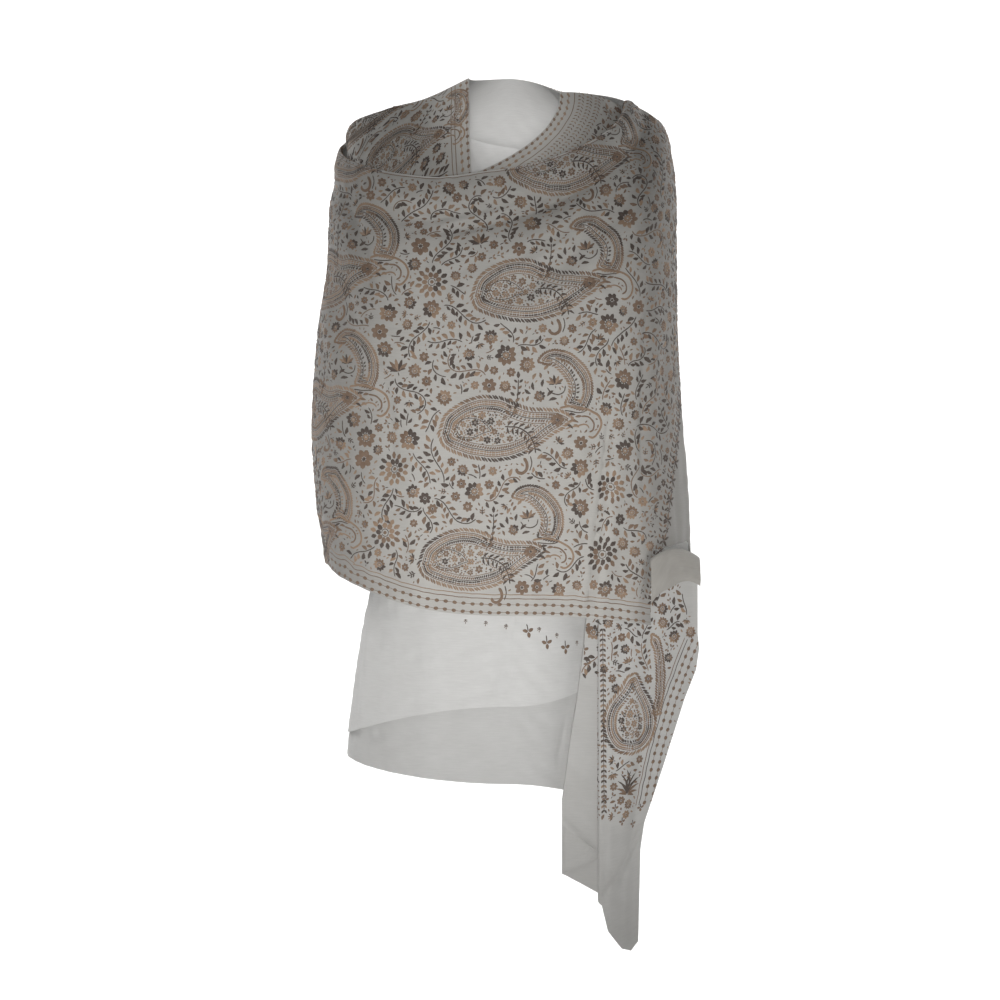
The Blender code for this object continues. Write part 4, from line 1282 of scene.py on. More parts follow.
def small_motif(pen, kind, size, tones):
    if kind == "daisy":
        daisy(pen, size, 11, tones)
    elif kind == "rosette":
        rosette(pen, size, tones[1], tones[0])
    elif kind == "tulip":
        tulip(pen, size * .85, tones)
    elif kind == "sprig":
        sprig(pen.inner(0, -size * .9), size * 1.9, tones[0])
    elif kind == "pair":
        pen.run(((0, -size), (0, size * .1)), STEM * .8, DARK)
        for side in (-1, 1):
            pen.leaf(side * .2, 0, 90 - side * 35, size * 1.05, size * .66, tones[1])
    else:
        pen.leaf(-size * .9, 0, 0, size * 1.8, size * .96, tones[1], bend=.08)


def fill(work, plan, allowed=None, palette=PALETTE):
    """Small motifs of plan's (kind, radius in mm, tries), dropped where there is still room."""
    chance = work.chance
    high = work.low + NET * np.array(work.net.shape)
    for kind, size, tries in plan:
        spots = work.low + chance.random((tries, 2)) * (high - work.low)
        if allowed is not None:
            spots = spots[allowed(spots)]
        near = np.rint((spots - work.low) / NET).astype(int)
        near = np.clip(near, 0, np.array(work.net.shape) - 1)
        for spot in spots[~work.net[near[:, 0], near[:, 1]]]:
            grown = size * (.85 + .3 * chance.random())
            if work.free(spot, .001 * grown * CLOSE):
                tones = palette[int(chance.integers(len(palette)))]
                small_motif(Pen(work, *spot, 360 * chance.random()), kind, grown, tones)


# ----------------------------------------------------------- paisley motif
BULB = ((-65, -8), (-56, 18), (-36, 34), (-8, 43), (15, 42), (36, 34), (53, 27), (76, 25), (98, 22),
        (112, 11), (102, -1), (84, -13), (63, -28), (41, -38), (18, -43), (-13, -41), (-38, -34),
        (-58, -23))
Rib = namedtuple("Rib", "x y half")
HOOK = (Rib(112, 24, 16), Rib(119, 40, 17), Rib(119, 56, 17), Rib(111, 71, 16.5), Rib(98, 83, 15),
        Rib(83, 88, 12), Rib(72, 86, 9))
HEART = ((-44, -2), (-38, 12), (-24, 18), (-8, 15), (4, 6), (10, -4), (-2, -10), (-20, -16), (-37, -13))


def around(ribs):
    """A closed outline round the ribs of a tail."""
    spine = np.array([(r.x, r.y) for r in ribs], float)
    way, left = ways(spine)
    off = left * np.array([r.half for r in ribs])[:, None]
    tip = spine[-1] + way[-1] * ribs[-1].half
    return np.concatenate((spine - off, tip[None], (spine + off)[::-1]))


def tone_waves(way, length, phase):
    """Thread tone that changes in long stretches along the outline."""
    slow = math.sin(2 * math.pi * way / length * 2.0 + phase)
    quick = math.sin(14 * way / length + phase * 3)
    swing = slow + .5 * quick
    return DARK if swing > .75 else BROWN if swing > -.1 else TAN


def rim_line(pen, outline, inset, width, tone):
    at = outline.stations(inset, 2.4)
    spots = outline.points[at] + outline.inward[at] * inset
    gaps = np.linalg.norm(np.diff(spots, axis=0), axis=1)
    cuts = [0, *(np.nonzero(gaps > RIM_GAP)[0] + 1), len(spots)]
    for start, end in zip(cuts[:-1], cuts[1:]):
        if end - start > 3:
            part = spots[start:end]
            if start == 0 and end == len(spots) and np.linalg.norm(part[0] - part[-1]) < RIM_GAP:
                part = np.concatenate((part, part[:1]))
            pen.run(part, width, tone, take=False, step=.0024)


def rim_teeth(pen, outline, inset, depth, pitch, lean, phase, width):
    """Slanted leaflets side by side between `inset` and `inset + depth`."""
    for k in outline.stations(inset + depth * .5, pitch):
        foot = outline.points[k] + outline.inward[k] * inset
        way = outline.inward[k] * math.cos(lean) + outline.along[k] * math.sin(lean)
        angle = math.degrees(math.atan2(way[1], way[0]))
        shade = tone_waves(outline.way[k], outline.way[-1], phase)
        pen.leaf(*foot, angle, depth / math.cos(lean), width, shade, take=False)


def rim_beads(pen, outline, inset, pitch, size, phase):
    for k in outline.stations(inset, pitch):
        x, y = outline.points[k] + outline.inward[k] * inset
        shade = tone_waves(outline.way[k], outline.way[-1], phase)
        angle = math.degrees(math.atan2(outline.along[k][1], outline.along[k][0]))
        pen.leaf(x, y, angle, size * 1.2, size, shade, full=1.0, take=False)


ROOM_INSIDE = .6        # inside a motif the stitches stand this much closer
OUTLINE_STEP = 1.2
RIM_GAP = 7             # a rim line is broken where its places are further apart than this
MOTIF_REACH = 150       # no motif reaches further than this from its own middle
MOTIF_CLEAR = .0022
Row = namedtuple("Row", "kind inset size pitch width tone")
BULB_BAND = (
    Row("teeth", .2, 6.2, 4.2, 3.4, None),
    Row("line", 7.5, 0, 0, 1.5, BROWN),
    Row("beads", 9.8, 2.9, 3.3, 0, None),
    Row("beads", 12.8, 2.9, 3.3, 0, None),
    Row("line", 15.0, 0, 0, 1.4, DARK),
    Row("teeth", 15.8, 4.4, 3.6, 2.9, None),
    Row("line", 21.2, 0, 0, 1.2, BROWN),
)
HOOK_BAND = (
    Row("teeth", .2, 5.0, 3.5, 3.3, None),
    Row("line", 6.0, 0, 0, 1.5, BROWN),
    Row("beads", 8.2, 2.8, 3.0, 0, None),
    Row("line", 10.2, 0, 0, 1.4, DARK),
    Row("teeth", 11.0, 4.6, 3.2, 3.1, None),
)


def band(pen, outline, rows, phase):
    """The worked rim of a motif, row by row inwards."""
    for k, r in enumerate(rows):
        if r.kind == "line":
            rim_line(pen, outline, r.inset, r.width, r.tone)
        elif r.kind == "beads":
            rim_beads(pen, outline, r.inset, r.pitch, r.size, phase + k)
        else:
            rim_teeth(pen, outline, r.inset, r.size, r.pitch, .8 if k == 0 else -.5, phase + k, r.width)


def fill_outline(pen, outline, inset, seed):
    """Small flowers and leaves that fill the inside of an outline."""
    chance = np.random.default_rng(seed)
    low, high = outline.points.min(0), outline.points.max(0)
    near = ROOM_INSIDE * pen.unit
    for kind, size, count in (("rosette", 5.2, 500), ("rosette", 3.8, 700), ("leaf", 3.4, 1200),
                              ("leaf", 2.4, 2200), ("dot", 1.2, 3000)):
        spots = low + chance.random((count, 2)) * (high - low)
        for x, y in spots[outline.holds(spots, inset + size * .8)]:
            grown = size * (.85 + .3 * chance.random())
            if not pen.work.free(pen.spots((x, y)), pen.unit * grown - near):
                continue
            tone = int(chance.choice((DARK, BROWN, BROWN, TAN, TAN)))
            turn = 360 * chance.random()
            if kind == "rosette":
                rosette(pen.inner(x, y, turn), grown, tone, BROWN if tone != BROWN else TAN, 6)
            elif kind == "leaf":
                pen.inner(x, y, turn).leaf(-grown, 0, 0, 2 * grown, grown * 1.1, tone)
            else:
                bead(pen, x, y, 2.2, tone)


# Lines on the lying paisley: width, tone, height and places.
PAISLEY_LINES = (
    (3.4, TAN, .0008, ((92, 24), (104, 26), (120, 24), (133, 20), (144, 12), (148, 1), (144, -9),
                       (136, -14), (130, -12))),
    (2.6, BROWN, .0008, ((120, 14), (132, 11), (138, 3), (136, -5), (131, -7))),
    (2.6, TAN, .0005, ((100, -3), (112, 1), (124, 3), (130, 0), (131, -3))),
    (1.8, DARK, .0005, ((98, 21), (112, 19), (126, 19))),
    (4.6, BROWN, .0009, ((47, -38), (51, -47), (50, -54), (44, -58), (38, -55), (38, -51))),
    (1.8, DARK, .0005, ((55, -36), (57, -46), (54, -56))),
    (1.7, DARK, .0005, ((29, 12), (36, 24), (39, 40), (40, 62))),
    (2.2, DARK, .0005, ((22, 2), (40, 0), (52, -8), (60, -22), (62, -34))),
    (2.0, DARK, .0005, ((76, 50), (82, 43), (91, 41), (98, 45), (100, 53))),
)


def paisley(work, x, y, turn, size, seed):
    """Lying paisley: banded bulb, leafy lobe, crescent tail with a hook of flowers inside."""
    pen = Pen(work, x, y, turn, size)
    phase = seed * 1.7
    bulb = Outline(np.array(BULB, float), OUTLINE_STEP)
    hook = Outline(around(HOOK), OUTLINE_STEP)
    heart = Outline(np.array(HEART, float), OUTLINE_STEP)
    band(pen, bulb, BULB_BAND, phase)
    rim_teeth(pen, heart, .2, 3.4, 3.2, .5, phase + 4, 2.6)
    rim_line(pen, heart, 4.6, 1.2, DARK)
    band(pen, hook, HOOK_BAND, phase + 2)
    for width, tone, height, places in PAISLEY_LINES:
        pen.run(places, width, tone, height=height)
    rosette(pen.inner(90, 9), 9, BROWN, DARK, 8)
    for px, py, angle, long, tone in (
            (102, 14, 10, 12, DARK), (105, 8, -8, 13, BROWN), (101, 3, -30, 11, DARK),
            (112, 13, 5, 10, BROWN), (110, 3, -20, 9, TAN)):
        pen.leaf(px, py, angle, long, 4.4, tone, bend=.1)
    for k in range(6):
        y_leaf = 16 + 8.2 * k
        x_leaf = 31 + 1.8 * k if k < 5 else 40
        for side in (-1, 1):
            pen.leaf(x_leaf + side, y_leaf, 90 - side * 48, 9.6 - .6 * k, 5.4 - .3 * k,
                     DARK if k % 2 else BROWN)
    pen.leaf(40, 62, 92, 10, 5.4, DARK)
    for k, (px, py) in enumerate(((26, 2), (33, 1), (40, 0), (46, -3), (51, -8), (55, -14), (58, -21),
                                  (60, -28))):
        for side in (-1, 1):
            pen.leaf(px, py, -15 - 9 * k + side * 58, 10.5, 3.6, DARK, bend=side * .12)
    tulip(pen.inner(86, 58, 8), 9.0, (BROWN, TAN, DARK))
    daisy(pen.inner(67, 39), 8.0, 9, (DARK, BROWN, BROWN))
    for px, py, angle, long in ((76, 38, 42, 12), (60, 46, 100, 12), (56, 42, 140, 11), (78, 33, 12, 12),
                                (70, 50, 80, 11), (58, 60, 60, 10), (72, 72, 40, 9)):
        pen.leaf(px, py, angle, long, 5.0, DARK if long > 10 else TAN, bend=.1)
    fill_outline(pen, heart, 5.0, seed + 20)
    fill_outline(pen, bulb, 21.0, seed + 40)
    claim(pen, (bulb, hook))


END_BULB = ((0, -46), (22, -41), (37, -23), (40, 0), (34, 22), (21, 42), (6, 62), (-4, 60), (-18, 42),
            (-33, 24), (-40, 2), (-36, -22), (-22, -39))
END_HEART = ((0, -20), (11, -14), (15, 0), (10, 14), (1, 27), (-9, 14), (-14, -2), (-10, -14))
END_HOOK = (Rib(40, 2, 6), Rib(43, 30, 8), Rib(43, 58, 8.5), Rib(40, 84, 8), Rib(33, 104, 6.5))


def upright_paisley(work, x, y, size, seed):
    """The end's motif: a round bulb with a straight tail that stands beside it."""
    pen = Pen(work, x, y, 0, size, mirror=True)
    bulb = Outline(np.array(END_BULB, float), OUTLINE_STEP)
    heart = Outline(np.array(END_HEART, float), OUTLINE_STEP)
    hook = Outline(around(END_HOOK), OUTLINE_STEP)
    band(pen, bulb, BULB_BAND[:6], seed)
    band(pen, hook, HOOK_BAND[:4], seed + 1)
    rim_teeth(pen, heart, .2, 3.6, 3.4, .5, seed + 2, 2.8)
    fill_outline(pen, heart, 4.6, seed + 3)
    fill_outline(pen, bulb, 21.0, seed + 4)
    claim(pen, (bulb, hook))


def claim(pen, outlines):
    """Keep later work out of the outlines."""
    work = pen.work
    places = work.centres().reshape(-1, 2)
    c, s = math.cos(-pen.turn), math.sin(-pen.turn)
    local = (places - pen.at) / pen.unit
    local = np.stack((local[:, 0] * c - local[:, 1] * s, local[:, 0] * s + local[:, 1] * c), axis=1)
    local = local * (pen.flip, 1)
    close = np.nonzero(np.abs(local).max(1) < MOTIF_REACH)[0]
    mask = np.zeros(len(places), bool)
    for shape in outlines:
        mask[close[shape.holds(local[close])]] = True
        work.take(pen.spots(shape.points), MOTIF_CLEAR)
    work.take_where(mask.reshape(work.net.shape))


# ------------------------------------------------- where the needlework goes
def offset(path, distance):
    """A line beside `path`, to its left if distance is positive."""
    return path + distance * ways(path)[1]


EDGE_STEP = .004        # between the places of a cloth's edge
BAND_STEP = .0015       # between the lines that keep a border free
STRING = .0008


def keep_band(work, edge, start, end, side=1, room=.0008):
    """Keep later work out of the band from `start` to `end` beside an edge."""
    for inset in np.arange(start, end, BAND_STEP):
        work.take(offset(edge, side * inset), room)


def bead_row(work, path, size, pitch, tones):
    """Beads strung on a thin line."""
    line = curve(path, pitch)
    for k in range(len(line) - 1):
        way = line[k + 1] - line[k]
        angle = math.atan2(way[1], way[0])
        foot = line[k] - .5 * size * 1.2 * way / np.linalg.norm(way)
        work.leaf(*foot, angle, size * 1.2, size * .95, tones[k % len(tones)], full=1.0)
    work.run(path[::3], STRING, tones[0], height=.0003)


def border(work, path, rows, side=1):
    """Bead rows and lines beside an edge, to its left (side 1) or its right (-1)."""
    for inset, kind, tone in rows:
        beside = offset(path, side * inset)
        if kind == "beads":
            bead_row(work, beside, .0055, .0114, (tone,))
        elif kind == "small":
            bead_row(work, beside, .0030, .0062, (tone, BROWN))
        else:
            work.run(beside[::3], .0013, tone, height=.0006)


def leaf_row(work, path, length, width, pitch, tones, lean=50):
    """Paired leaves that slant away from a line."""
    line = curve(path, pitch)
    for k in range(len(line) - 1):
        way = line[k + 1] - line[k]
        angle = math.atan2(way[1], way[0])
        for side in (-1, 1):
            work.leaf(*line[k], angle + side * math.radians(lean), length, width,
                      tones[k % len(tones)], bend=side * .08)


def bud_line(work, path, size, pitch):
    """The dark dividing line: large bud clusters with small ones between."""
    line = curve(path, pitch / 2)
    for k in range(len(line) - 1):
        way = line[k + 1] - line[k]
        angle = math.degrees(math.atan2(way[1], way[0]))
        pen = Pen(work, *line[k], angle - 90)
        grown = size * (1 if k % 2 == 0 else .5)
        for turn in (0, 52, -52, 128, -128):
            pen.leaf(0, -.1 * grown, 90 + turn, grown, grown * .42, DARK if turn else BROWN, full=.3)
        bead(pen, 0, 0, grown * .34, DARK, long=1.0)
    work.run(path[::2], .0012, DARK)


def grow(work, x, y, heading, length, tones):
    """One stem with its leaves and the flower at its tip."""
    chance = work.chance
    bow = (.4 + .9 * chance.random()) * (1 if chance.random() < .5 else -1)
    grown = wander(work, x, y, heading, length * (.6 + .8 * chance.random()), bow,
                   DARK if chance.random() < .75 else BROWN, tones)
    if grown is None:
        return
    tip, heading = grown
    for radius in (6.4, 4.6, 3.4):
        spot = tip + .001 * radius * facing(heading)
        if work.free(spot, .001 * radius):
            pen = Pen(work, *spot, math.degrees(heading) - 90)
            if chance.random() < .5:
                tulip(pen, radius * .9, (tones[0], tones[-1], BROWN))
            else:
                daisy(pen, radius, 9, (tones[0], tones[-1], BROWN))
            return


def strew(work, count, length, tones, allowed=None):
    """Stems that wander over the free ground."""
    chance = work.chance
    high = work.low + NET * np.array(work.net.shape)
    for _ in range(count):
        spot = work.low + chance.random(2) * (high - work.low)
        if (allowed is None or allowed(spot[None])[0]) and work.free(spot, .004):
            grow(work, *spot, chance.normal(math.pi / 2, 1.2), length, tones)


def photo_spot(px, py):
    """Chart place of the front for a place in the straight-on view, in thousandths of it."""
    return (px - 500) * FRONT_SCALE + CAMERA_X, CAMERA_Z - (py - 500) * FRONT_SCALE


FRONT_SCALE = .0012657
FULLNESS = 1.28         # flowers are drawn this much larger than their solid middle
CAMERA_X = -.0133
CAMERA_Z = -.505
Motif = namedtuple("Motif", "across up turn size seed")
PAISLEYS = (
    Motif(.056, -.064, 0, 1.00, 1),
    Motif(.012, -.242, 0, 1.00, 2),
    Motif(-.030, -.418, 0, 1.00, 3),
    Motif(-.059, -.5835, 0, .94, 4),
    Motif(-.238, -.045, 0, 1.00, 5),
    Motif(-.2795, -.2175, 0, 1.00, 6),
    Motif(-.306, -.388, 0, 1.00, 7),
    Motif(-.337, -.560, 0, .94, 8),
    Motif(-.571, -.193, 0, 1.00, 9),
    Motif(-.590, -.364, 0, 1.00, 10),
    Motif(-.620, -.535, 0, .94, 11),
)
SHOULDER_PAISLEYS = (Motif(-.135, -.105, 62, .74, 31), Motif(-.235, -.165, 62, .74, 32))
Bloom = namedtuple("Bloom", "px py radius kind")
BLOOMS = [Bloom(*row) for row in (
    (431, 282, 13, "crown"), (431, 310, 8, "daisy"), (421, 343, 14, "crown"), (419, 244, 8, "rosette"),
    (395, 368, 7, "tulip"), (382, 351, 7, "daisy"), (377, 333, 7, "rosette"), (385, 313, 8, "daisy"),
    (406, 405, 11, "daisy"), (408, 442, 9, "daisy"), (391, 471, 13, "crown"), (360, 440, 9, "daisy"),
    (357, 462, 8, "rosette"), (363, 481, 7, "daisy"), (377, 497, 7, "tulip"), (382, 536, 13, "crown"),
    (364, 561, 8, "daisy"), (384, 570, 7, "rosette"), (431, 471, 5, "rosette"),
    (424, 501, 5, "rosette"), (461, 522, 6, "rosette"), (412, 494, 6, "daisy"), (399, 563, 6, "tulip"),
    (346, 422, 7, "daisy"), (398, 431, 5, "trefoil"), (533, 220, 8, "daisy"), (561, 231, 7, "rosette"),
    (519, 249, 6, "rosette"), (632, 218, 9, "daisy"), (635, 234, 8, "daisy"), (610, 329, 9, "daisy"),
    (587, 318, 6, "rosette"), (444, 276, 8, "daisy"), (458, 238, 7, "rosette"), (479, 238, 7, "tulip"),
    (652, 245, 7, "daisy"), (457, 303, 5, "tulip"), (613, 305, 6, "rosette"), (645, 310, 6, "rosette"),
    (573, 324, 6, "rosette"), (415, 365, 9, "daisy"), (506, 358, 9, "daisy"), (605, 349, 7, "rosette"),
    (606, 371, 8, "daisy"), (627, 384, 9, "daisy"), (489, 388, 6, "rosette"), (553, 386, 6, "rosette"),
    (550, 406, 6, "rosette"), (582, 447, 6, "rosette"), (581, 472, 8, "daisy"), (631, 456, 9, "daisy"),
    (474, 494, 8, "daisy"), (573, 493, 8, "daisy"), (581, 512, 8, "daisy"), (512, 486, 6, "rosette"),
    (606, 561, 14, "dark"), (522, 591, 6, "rosette"), (537, 591, 5, "rosette"), (559, 594, 6, "daisy"),
    (609, 596, 7, "daisy"), (529, 522, 6, "tulip"), (523, 542, 6, "rosette"), (616, 494, 13, "crown"),
    (597, 526, 8, "tulip"), (626, 526, 5, "rosette"), (628, 571, 5, "rosette"),
)]
BUD_LINE = ((.195, -.642), (.2105, -.5805), (.2315, -.502), (.263, -.424), (.300, -.325),
            (.345, -.205))
TUCK_LINE = ((.097, -.662), (.104, -.552), (.127, -.430), (.132, -.401))
# Rows of a border: how far in, kind and tone.
HEM_ROWS = ((.0038, "beads", BROWN), (.014, "beads", BROWN), (.0215, "line", BROWN),
            (.0266, "line", TAN))
END_ROWS = ((.005, "line", BROWN), (.011, "small", TAN), (.017, "line", BROWN))
NECK_ROWS = ((.0030, "beads", BROWN), (.0118, "beads", TAN), (.020, "line", BROWN),
             (.0254, "line", BROWN))
WRIST_ROWS = ((-.0015, "beads", BROWN), (.0080, "beads", BROWN), (.0150, "line", DARK),
              (.0195, "line", BROWN))
LEAF_TONES = (DARK, BROWN, DARK, TAN)
BLOOM_TONES = ((DARK, BROWN, TAN), (BROWN, DARK, TAN), (DARK, BROWN, BROWN))


def draw_bloom(pen, kind, radius, tones):
    if kind == "crown":
        crown(pen, radius, (tones[0], tones[1], TAN, TAN))
    elif kind == "dark":
        crown(pen, radius, (DARK, DARK, BROWN))
    elif kind == "daisy":
        daisy(pen, radius, 10, tones)
    elif kind == "rosette":
        rosette(pen, radius, tones[1], DARK)
    elif kind == "tulip":
        tulip(pen, radius, tones)
    else:
        trefoil(pen, radius, tones[1])


# Sizes are in millimetres, with the number of tries for each.
FIELD_PLAN = (("daisy", 10.5, 1500), ("daisy", 8.4, 4000), ("rosette", 6.4, 8000),
              ("tulip", 6.4, 8000), ("sprig", 6.2, 14000), ("pair", 5.2, 18000),
              ("leaf", 4.3, 24000), ("leaf", 3.2, 24000), ("leaf", 2.4, 24000))
STRIP_PLAN = (("daisy", 6.5, 900), ("rosette", 4.6, 3000), ("pair", 4.0, 6000), ("leaf", 3.0, 9000))
DEEP_PALETTE = DARK_PALETTE + PALETTE[:2]
HEM_BAND = .0290
END_BAND = .0200
FLAP_BAND = .056
BAND_FROM = .001
STRIP_EDGE = .029       # the dark strip's flowers keep this far from its bud line
FAR_LEFT = -.19         # the arm's side, where the flowers are darker


def thinned(plan, by):
    return [(kind, size, tries // by) for kind, size, tries in plan]


def right_of(line):
    """Test for chart places on the right of a line that climbs."""
    line = np.array(line)
    line = line[np.argsort(line[:, 1])]

    def test(spots):
        return spots[..., 0] > np.interp(spots[..., 1], line[:, 1], line[:, 0])
    return test


def above(height):
    """Test for chart places further up the cloth than `height`."""
    def test(spots):
        return spots[..., 1] > height
    return test


def far_left(spots):
    return spots[..., 0] < FAR_LEFT


def work_front():
    work = Needlework(front, "front_needlework", 11)
    us = np.linspace(WRAP_U, SEAM_U, 60)
    hem = curve(front.chart(us, 1.0), EDGE_STEP)
    top = curve(front.chart(us, 0.0), EDGE_STEP)
    free_end = curve(front.chart(np.full(40, WRAP_U), np.linspace(1, 0, 40)), EDGE_STEP)
    border(work, hem, HEM_ROWS)
    border(work, free_end[6:], END_ROWS, -1)
    border(work, top, END_ROWS, -1)
    keep_band(work, hem, BAND_FROM, HEM_BAND)
    keep_band(work, top, BAND_FROM, END_BAND, -1)
    strip = curve(BUD_LINE, .003)
    bud_line(work, strip, 10.5, .0264)
    leaf_row(work, offset(strip, .0085), .0080, .0040, .0072, (DARK, BROWN))
    beyond = right_of(BUD_LINE)
    work.take_where(beyond(work.centres()))
    work.take(curve(TUCK_LINE, .002), .0015)
    near_strip = right_of(offset(strip, STRIP_EDGE))
    strew(work, 500, .030, (DARK, DARK, BROWN), near_strip)
    fill(work, STRIP_PLAN, near_strip, DARK_PALETTE)
    for m in PAISLEYS:
        paisley(work, *m)
    for k, b in enumerate(BLOOMS):
        x, y = photo_spot(b.px, b.py)
        radius = b.radius * FRONT_SCALE * 1000 * FULLNESS
        if work.free((x, y), .0004 * radius):
            turn = 37 * k if b.kind in ("daisy", "crown") else 12
            draw_bloom(Pen(work, x, y, turn), b.kind, radius, BLOOM_TONES[k % 3])
            for _ in range(3):
                way = 2 * math.pi * work.chance.random()
                reach = .001 * radius + .003
                grow(work, x + reach * math.cos(way), y + reach * math.sin(way), way, .060, LEAF_TONES)
    strew(work, 1500, .080, LEAF_TONES)
    fill(work, FIELD_PLAN, far_left, DEEP_PALETTE)
    fill(work, FIELD_PLAN)
    return work.mesh((-.20, .00))


def work_shoulder():
    work = Needlework(shoulder, "shoulder_needlework", 23)
    edge = curve(((.0, 0), (-.12, 0), (-.245, 0)), EDGE_STEP)
    border(work, edge, NECK_ROWS)
    keep_band(work, edge, BAND_FROM, HEM_BAND)
    for m in SHOULDER_PAISLEYS:
        paisley(work, *m)
    strew(work, 240, .050, LEAF_TONES)
    fill(work, thinned(FIELD_PLAN, 8), palette=DEEP_PALETTE)
    return work.mesh()


def work_flap():
    work = Needlework(flap, "flap_needlework", 29)
    edge = curve(((.247, 0), (.12, 0), (0, 0)), EDGE_STEP)
    border(work, edge, NECK_ROWS[:3])
    for inset in (.029, .040, .051):
        leaf_row(work, offset(edge, inset), .0056, .0024, .0062, (BROWN, TAN, BROWN))
    keep_band(work, edge, BAND_FROM, FLAP_BAND)
    strew(work, 60, .030, (BROWN, DARK, TAN))
    fill(work, thinned(FIELD_PLAN[2:], 14))
    return work.mesh()


def work_hanging():
    """The end over the wrist: an upright paisley, a leaf band, a plant and an edge border."""
    work = Needlework(hanging, "end_needlework", 37)
    edge = curve(((-.0215, -.690), (-.010, -.716), (.020, -.800), (.036, -.860), (.047, -.915)),
                 EDGE_STEP)
    border(work, edge, WRIST_ROWS)
    keep_band(work, edge, -.006, .022, room=.0012)
    plain_edge = right_of(((-.030, -.700), (-.026, -.690), (.010, -.600), (.030, -.560)))
    work.take_where(~plain_edge(work.centres()) | (work.centres()[..., 1] < -.935))
    upright_paisley(work, .0760, -.787, 1.02, 41)
    plant = Pen(work, .082, -.884, 14)
    for angle, long in ((90, 34), (74, 36), (106, 33), (58, 32), (122, 30), (42, 26), (138, 25),
                        (22, 19), (158, 19), (4, 13), (176, 13)):
        plant.leaf(0, 0, angle, long, 4.4, DARK if long > 25 else BROWN,
                   bend=.14 if angle < 90 else -.14)
    inner = curve(((.1150, -.668), (.1128, -.905)), .003)
    leaf_row(work, inner, .0058, .0036, .0064, (DARK, BROWN, DARK, TAN), 38)
    work.run(inner[::3], .0012, DARK, take=False)
    for x, y in ((.111, -.883), (.098, -.895), (.088, -.915), (.070, -.924), (.058, -.905)):
        trefoil(Pen(work, x, y, 0), 6.5, BROWN)
    for x, y, radius in ((.020, -.708, 7), (.085, -.695, 7), (.098, -.745, 7), (.113, -.720, 6)):
        daisy(Pen(work, x, y), radius, 10, (DARK, BROWN, DARK))
    strew(work, 600, .040, LEAF_TONES, above(-.87))
    fill(work, thinned(FIELD_PLAN[1:], 2), above(-.910))
    return work.mesh()


Tuft = namedtuple("Tuft", "across up turn size kind")
HEM_TUFTS = [Tuft(*row) for row in (
    (-.058, -.656, 178, 4.4, "sprig"), (-.032, -.658, 176, 5, "sprig"), (-.006, -.662, 184, 5, "sprig"),
    (.022, -.668, 10, 10, "trefoil"), (.037, -.666, 180, 5, "sprig"), (.047, -.683, 6, 10, "trefoil"),
    (.061, -.674, 182, 5, "sprig"), (.074, -.690, 4, 10, "trefoil"), (.094, -.685, 180, 5, "sprig"),
)]


def work_upper():
    work = Needlework(upper, "under_needlework", 43)
    for t in HEM_TUFTS:
        pen = Pen(work, t.across, t.up, t.turn)
        if t.kind == "sprig":
            sprig(pen, t.size * 1.6, BROWN)
        else:
            trefoil(pen, t.size, BROWN)
    return work.mesh()


PLEAT_SPRAY = [Bloom(*row) for row in (
    (594, 634, 8, "daisy"), (602, 651, 6, "daisy"), (585, 627, 6, "rosette"), (583, 649, 7, "trefoil"),
    (599, 670, 7, "trefoil"), (588, 664, 6, "trefoil"), (574, 628, 5, "trefoil"),
    (603, 688, 5, "trefoil"),
)]


def place_on(cloth, px, py):
    """Chart place of a cloth's foremost point at a place in the straight-on view."""
    x, z = photo_spot(px, py)
    gaps = np.hypot(cloth.points[..., 0] - x, cloth.points[..., 2] - z) + .2 * cloth.points[..., 1]
    nearest = np.unravel_index(np.argmin(gaps), gaps.shape)
    return cloth.across[nearest], cloth.up[nearest]


def work_pleats():
    """The hem's spray of flowers runs on over the top of the pleat."""
    work = Needlework(pleats, "pleat_needlework", 47)
    for k, b in enumerate(PLEAT_SPRAY):
        pen = Pen(work, *place_on(pleats, b.px, b.py), 10 * k - 30)
        draw_bloom(pen, b.kind, b.radius * FRONT_SCALE * 1000, BLOOM_TONES[k % 3])
        if b.kind != "trefoil":
            for way in (.6, 2.3, 4.2):
                foot = pen.at + .001 * (b.radius + 4) * facing(way)
                grow(work, *foot, way, .024, LEAF_TONES)
    return work.mesh()


BACK_FROM = .14         # surface "u" where the back's needlework starts,
BACK_TO = 1.265         # and where it ends, just inside the wrapped end
BACK_PAISLEYS = [
    Motif(-.345 + .290 * column - .036 * row, -.072 + .024 * (1 - column) - .156 * row, 0, .96,
          50 + 4 * column + row)
    for column in range(3) for row in range(4)]


def work_back():
    """The back, which the photograph doesn't show, is worked like the front."""
    work = Needlework(back, "back_needlework", 61)
    us = np.linspace(BACK_FROM, BACK_TO, 60)
    hem = curve(back.chart(us, 1.0), EDGE_STEP)
    top = curve(back.chart(us, 0.0), EDGE_STEP)
    border(work, hem, HEM_ROWS)
    border(work, top, NECK_ROWS, -1)
    keep_band(work, hem, BAND_FROM, HEM_BAND)
    keep_band(work, top, BAND_FROM, HEM_BAND, -1)
    vs = np.linspace(1, 0, 40)
    start = right_of(back.chart(np.full(40, BACK_FROM), vs))
    end = right_of(back.chart(np.full(40, BACK_TO), vs))
    places = work.centres()
    work.take_where(~start(places) | end(places))
    for m in BACK_PAISLEYS:
        on_cloth = back.locate(np.array(((m.across + .04, m.up),)))[2][0]
        if on_cloth and not end(np.array((m.across, m.up))):
            paisley(work, *m)
    strew(work, 900, .080, LEAF_TONES)
    fill(work, FIELD_PLAN)
    return work.mesh((-.05,))


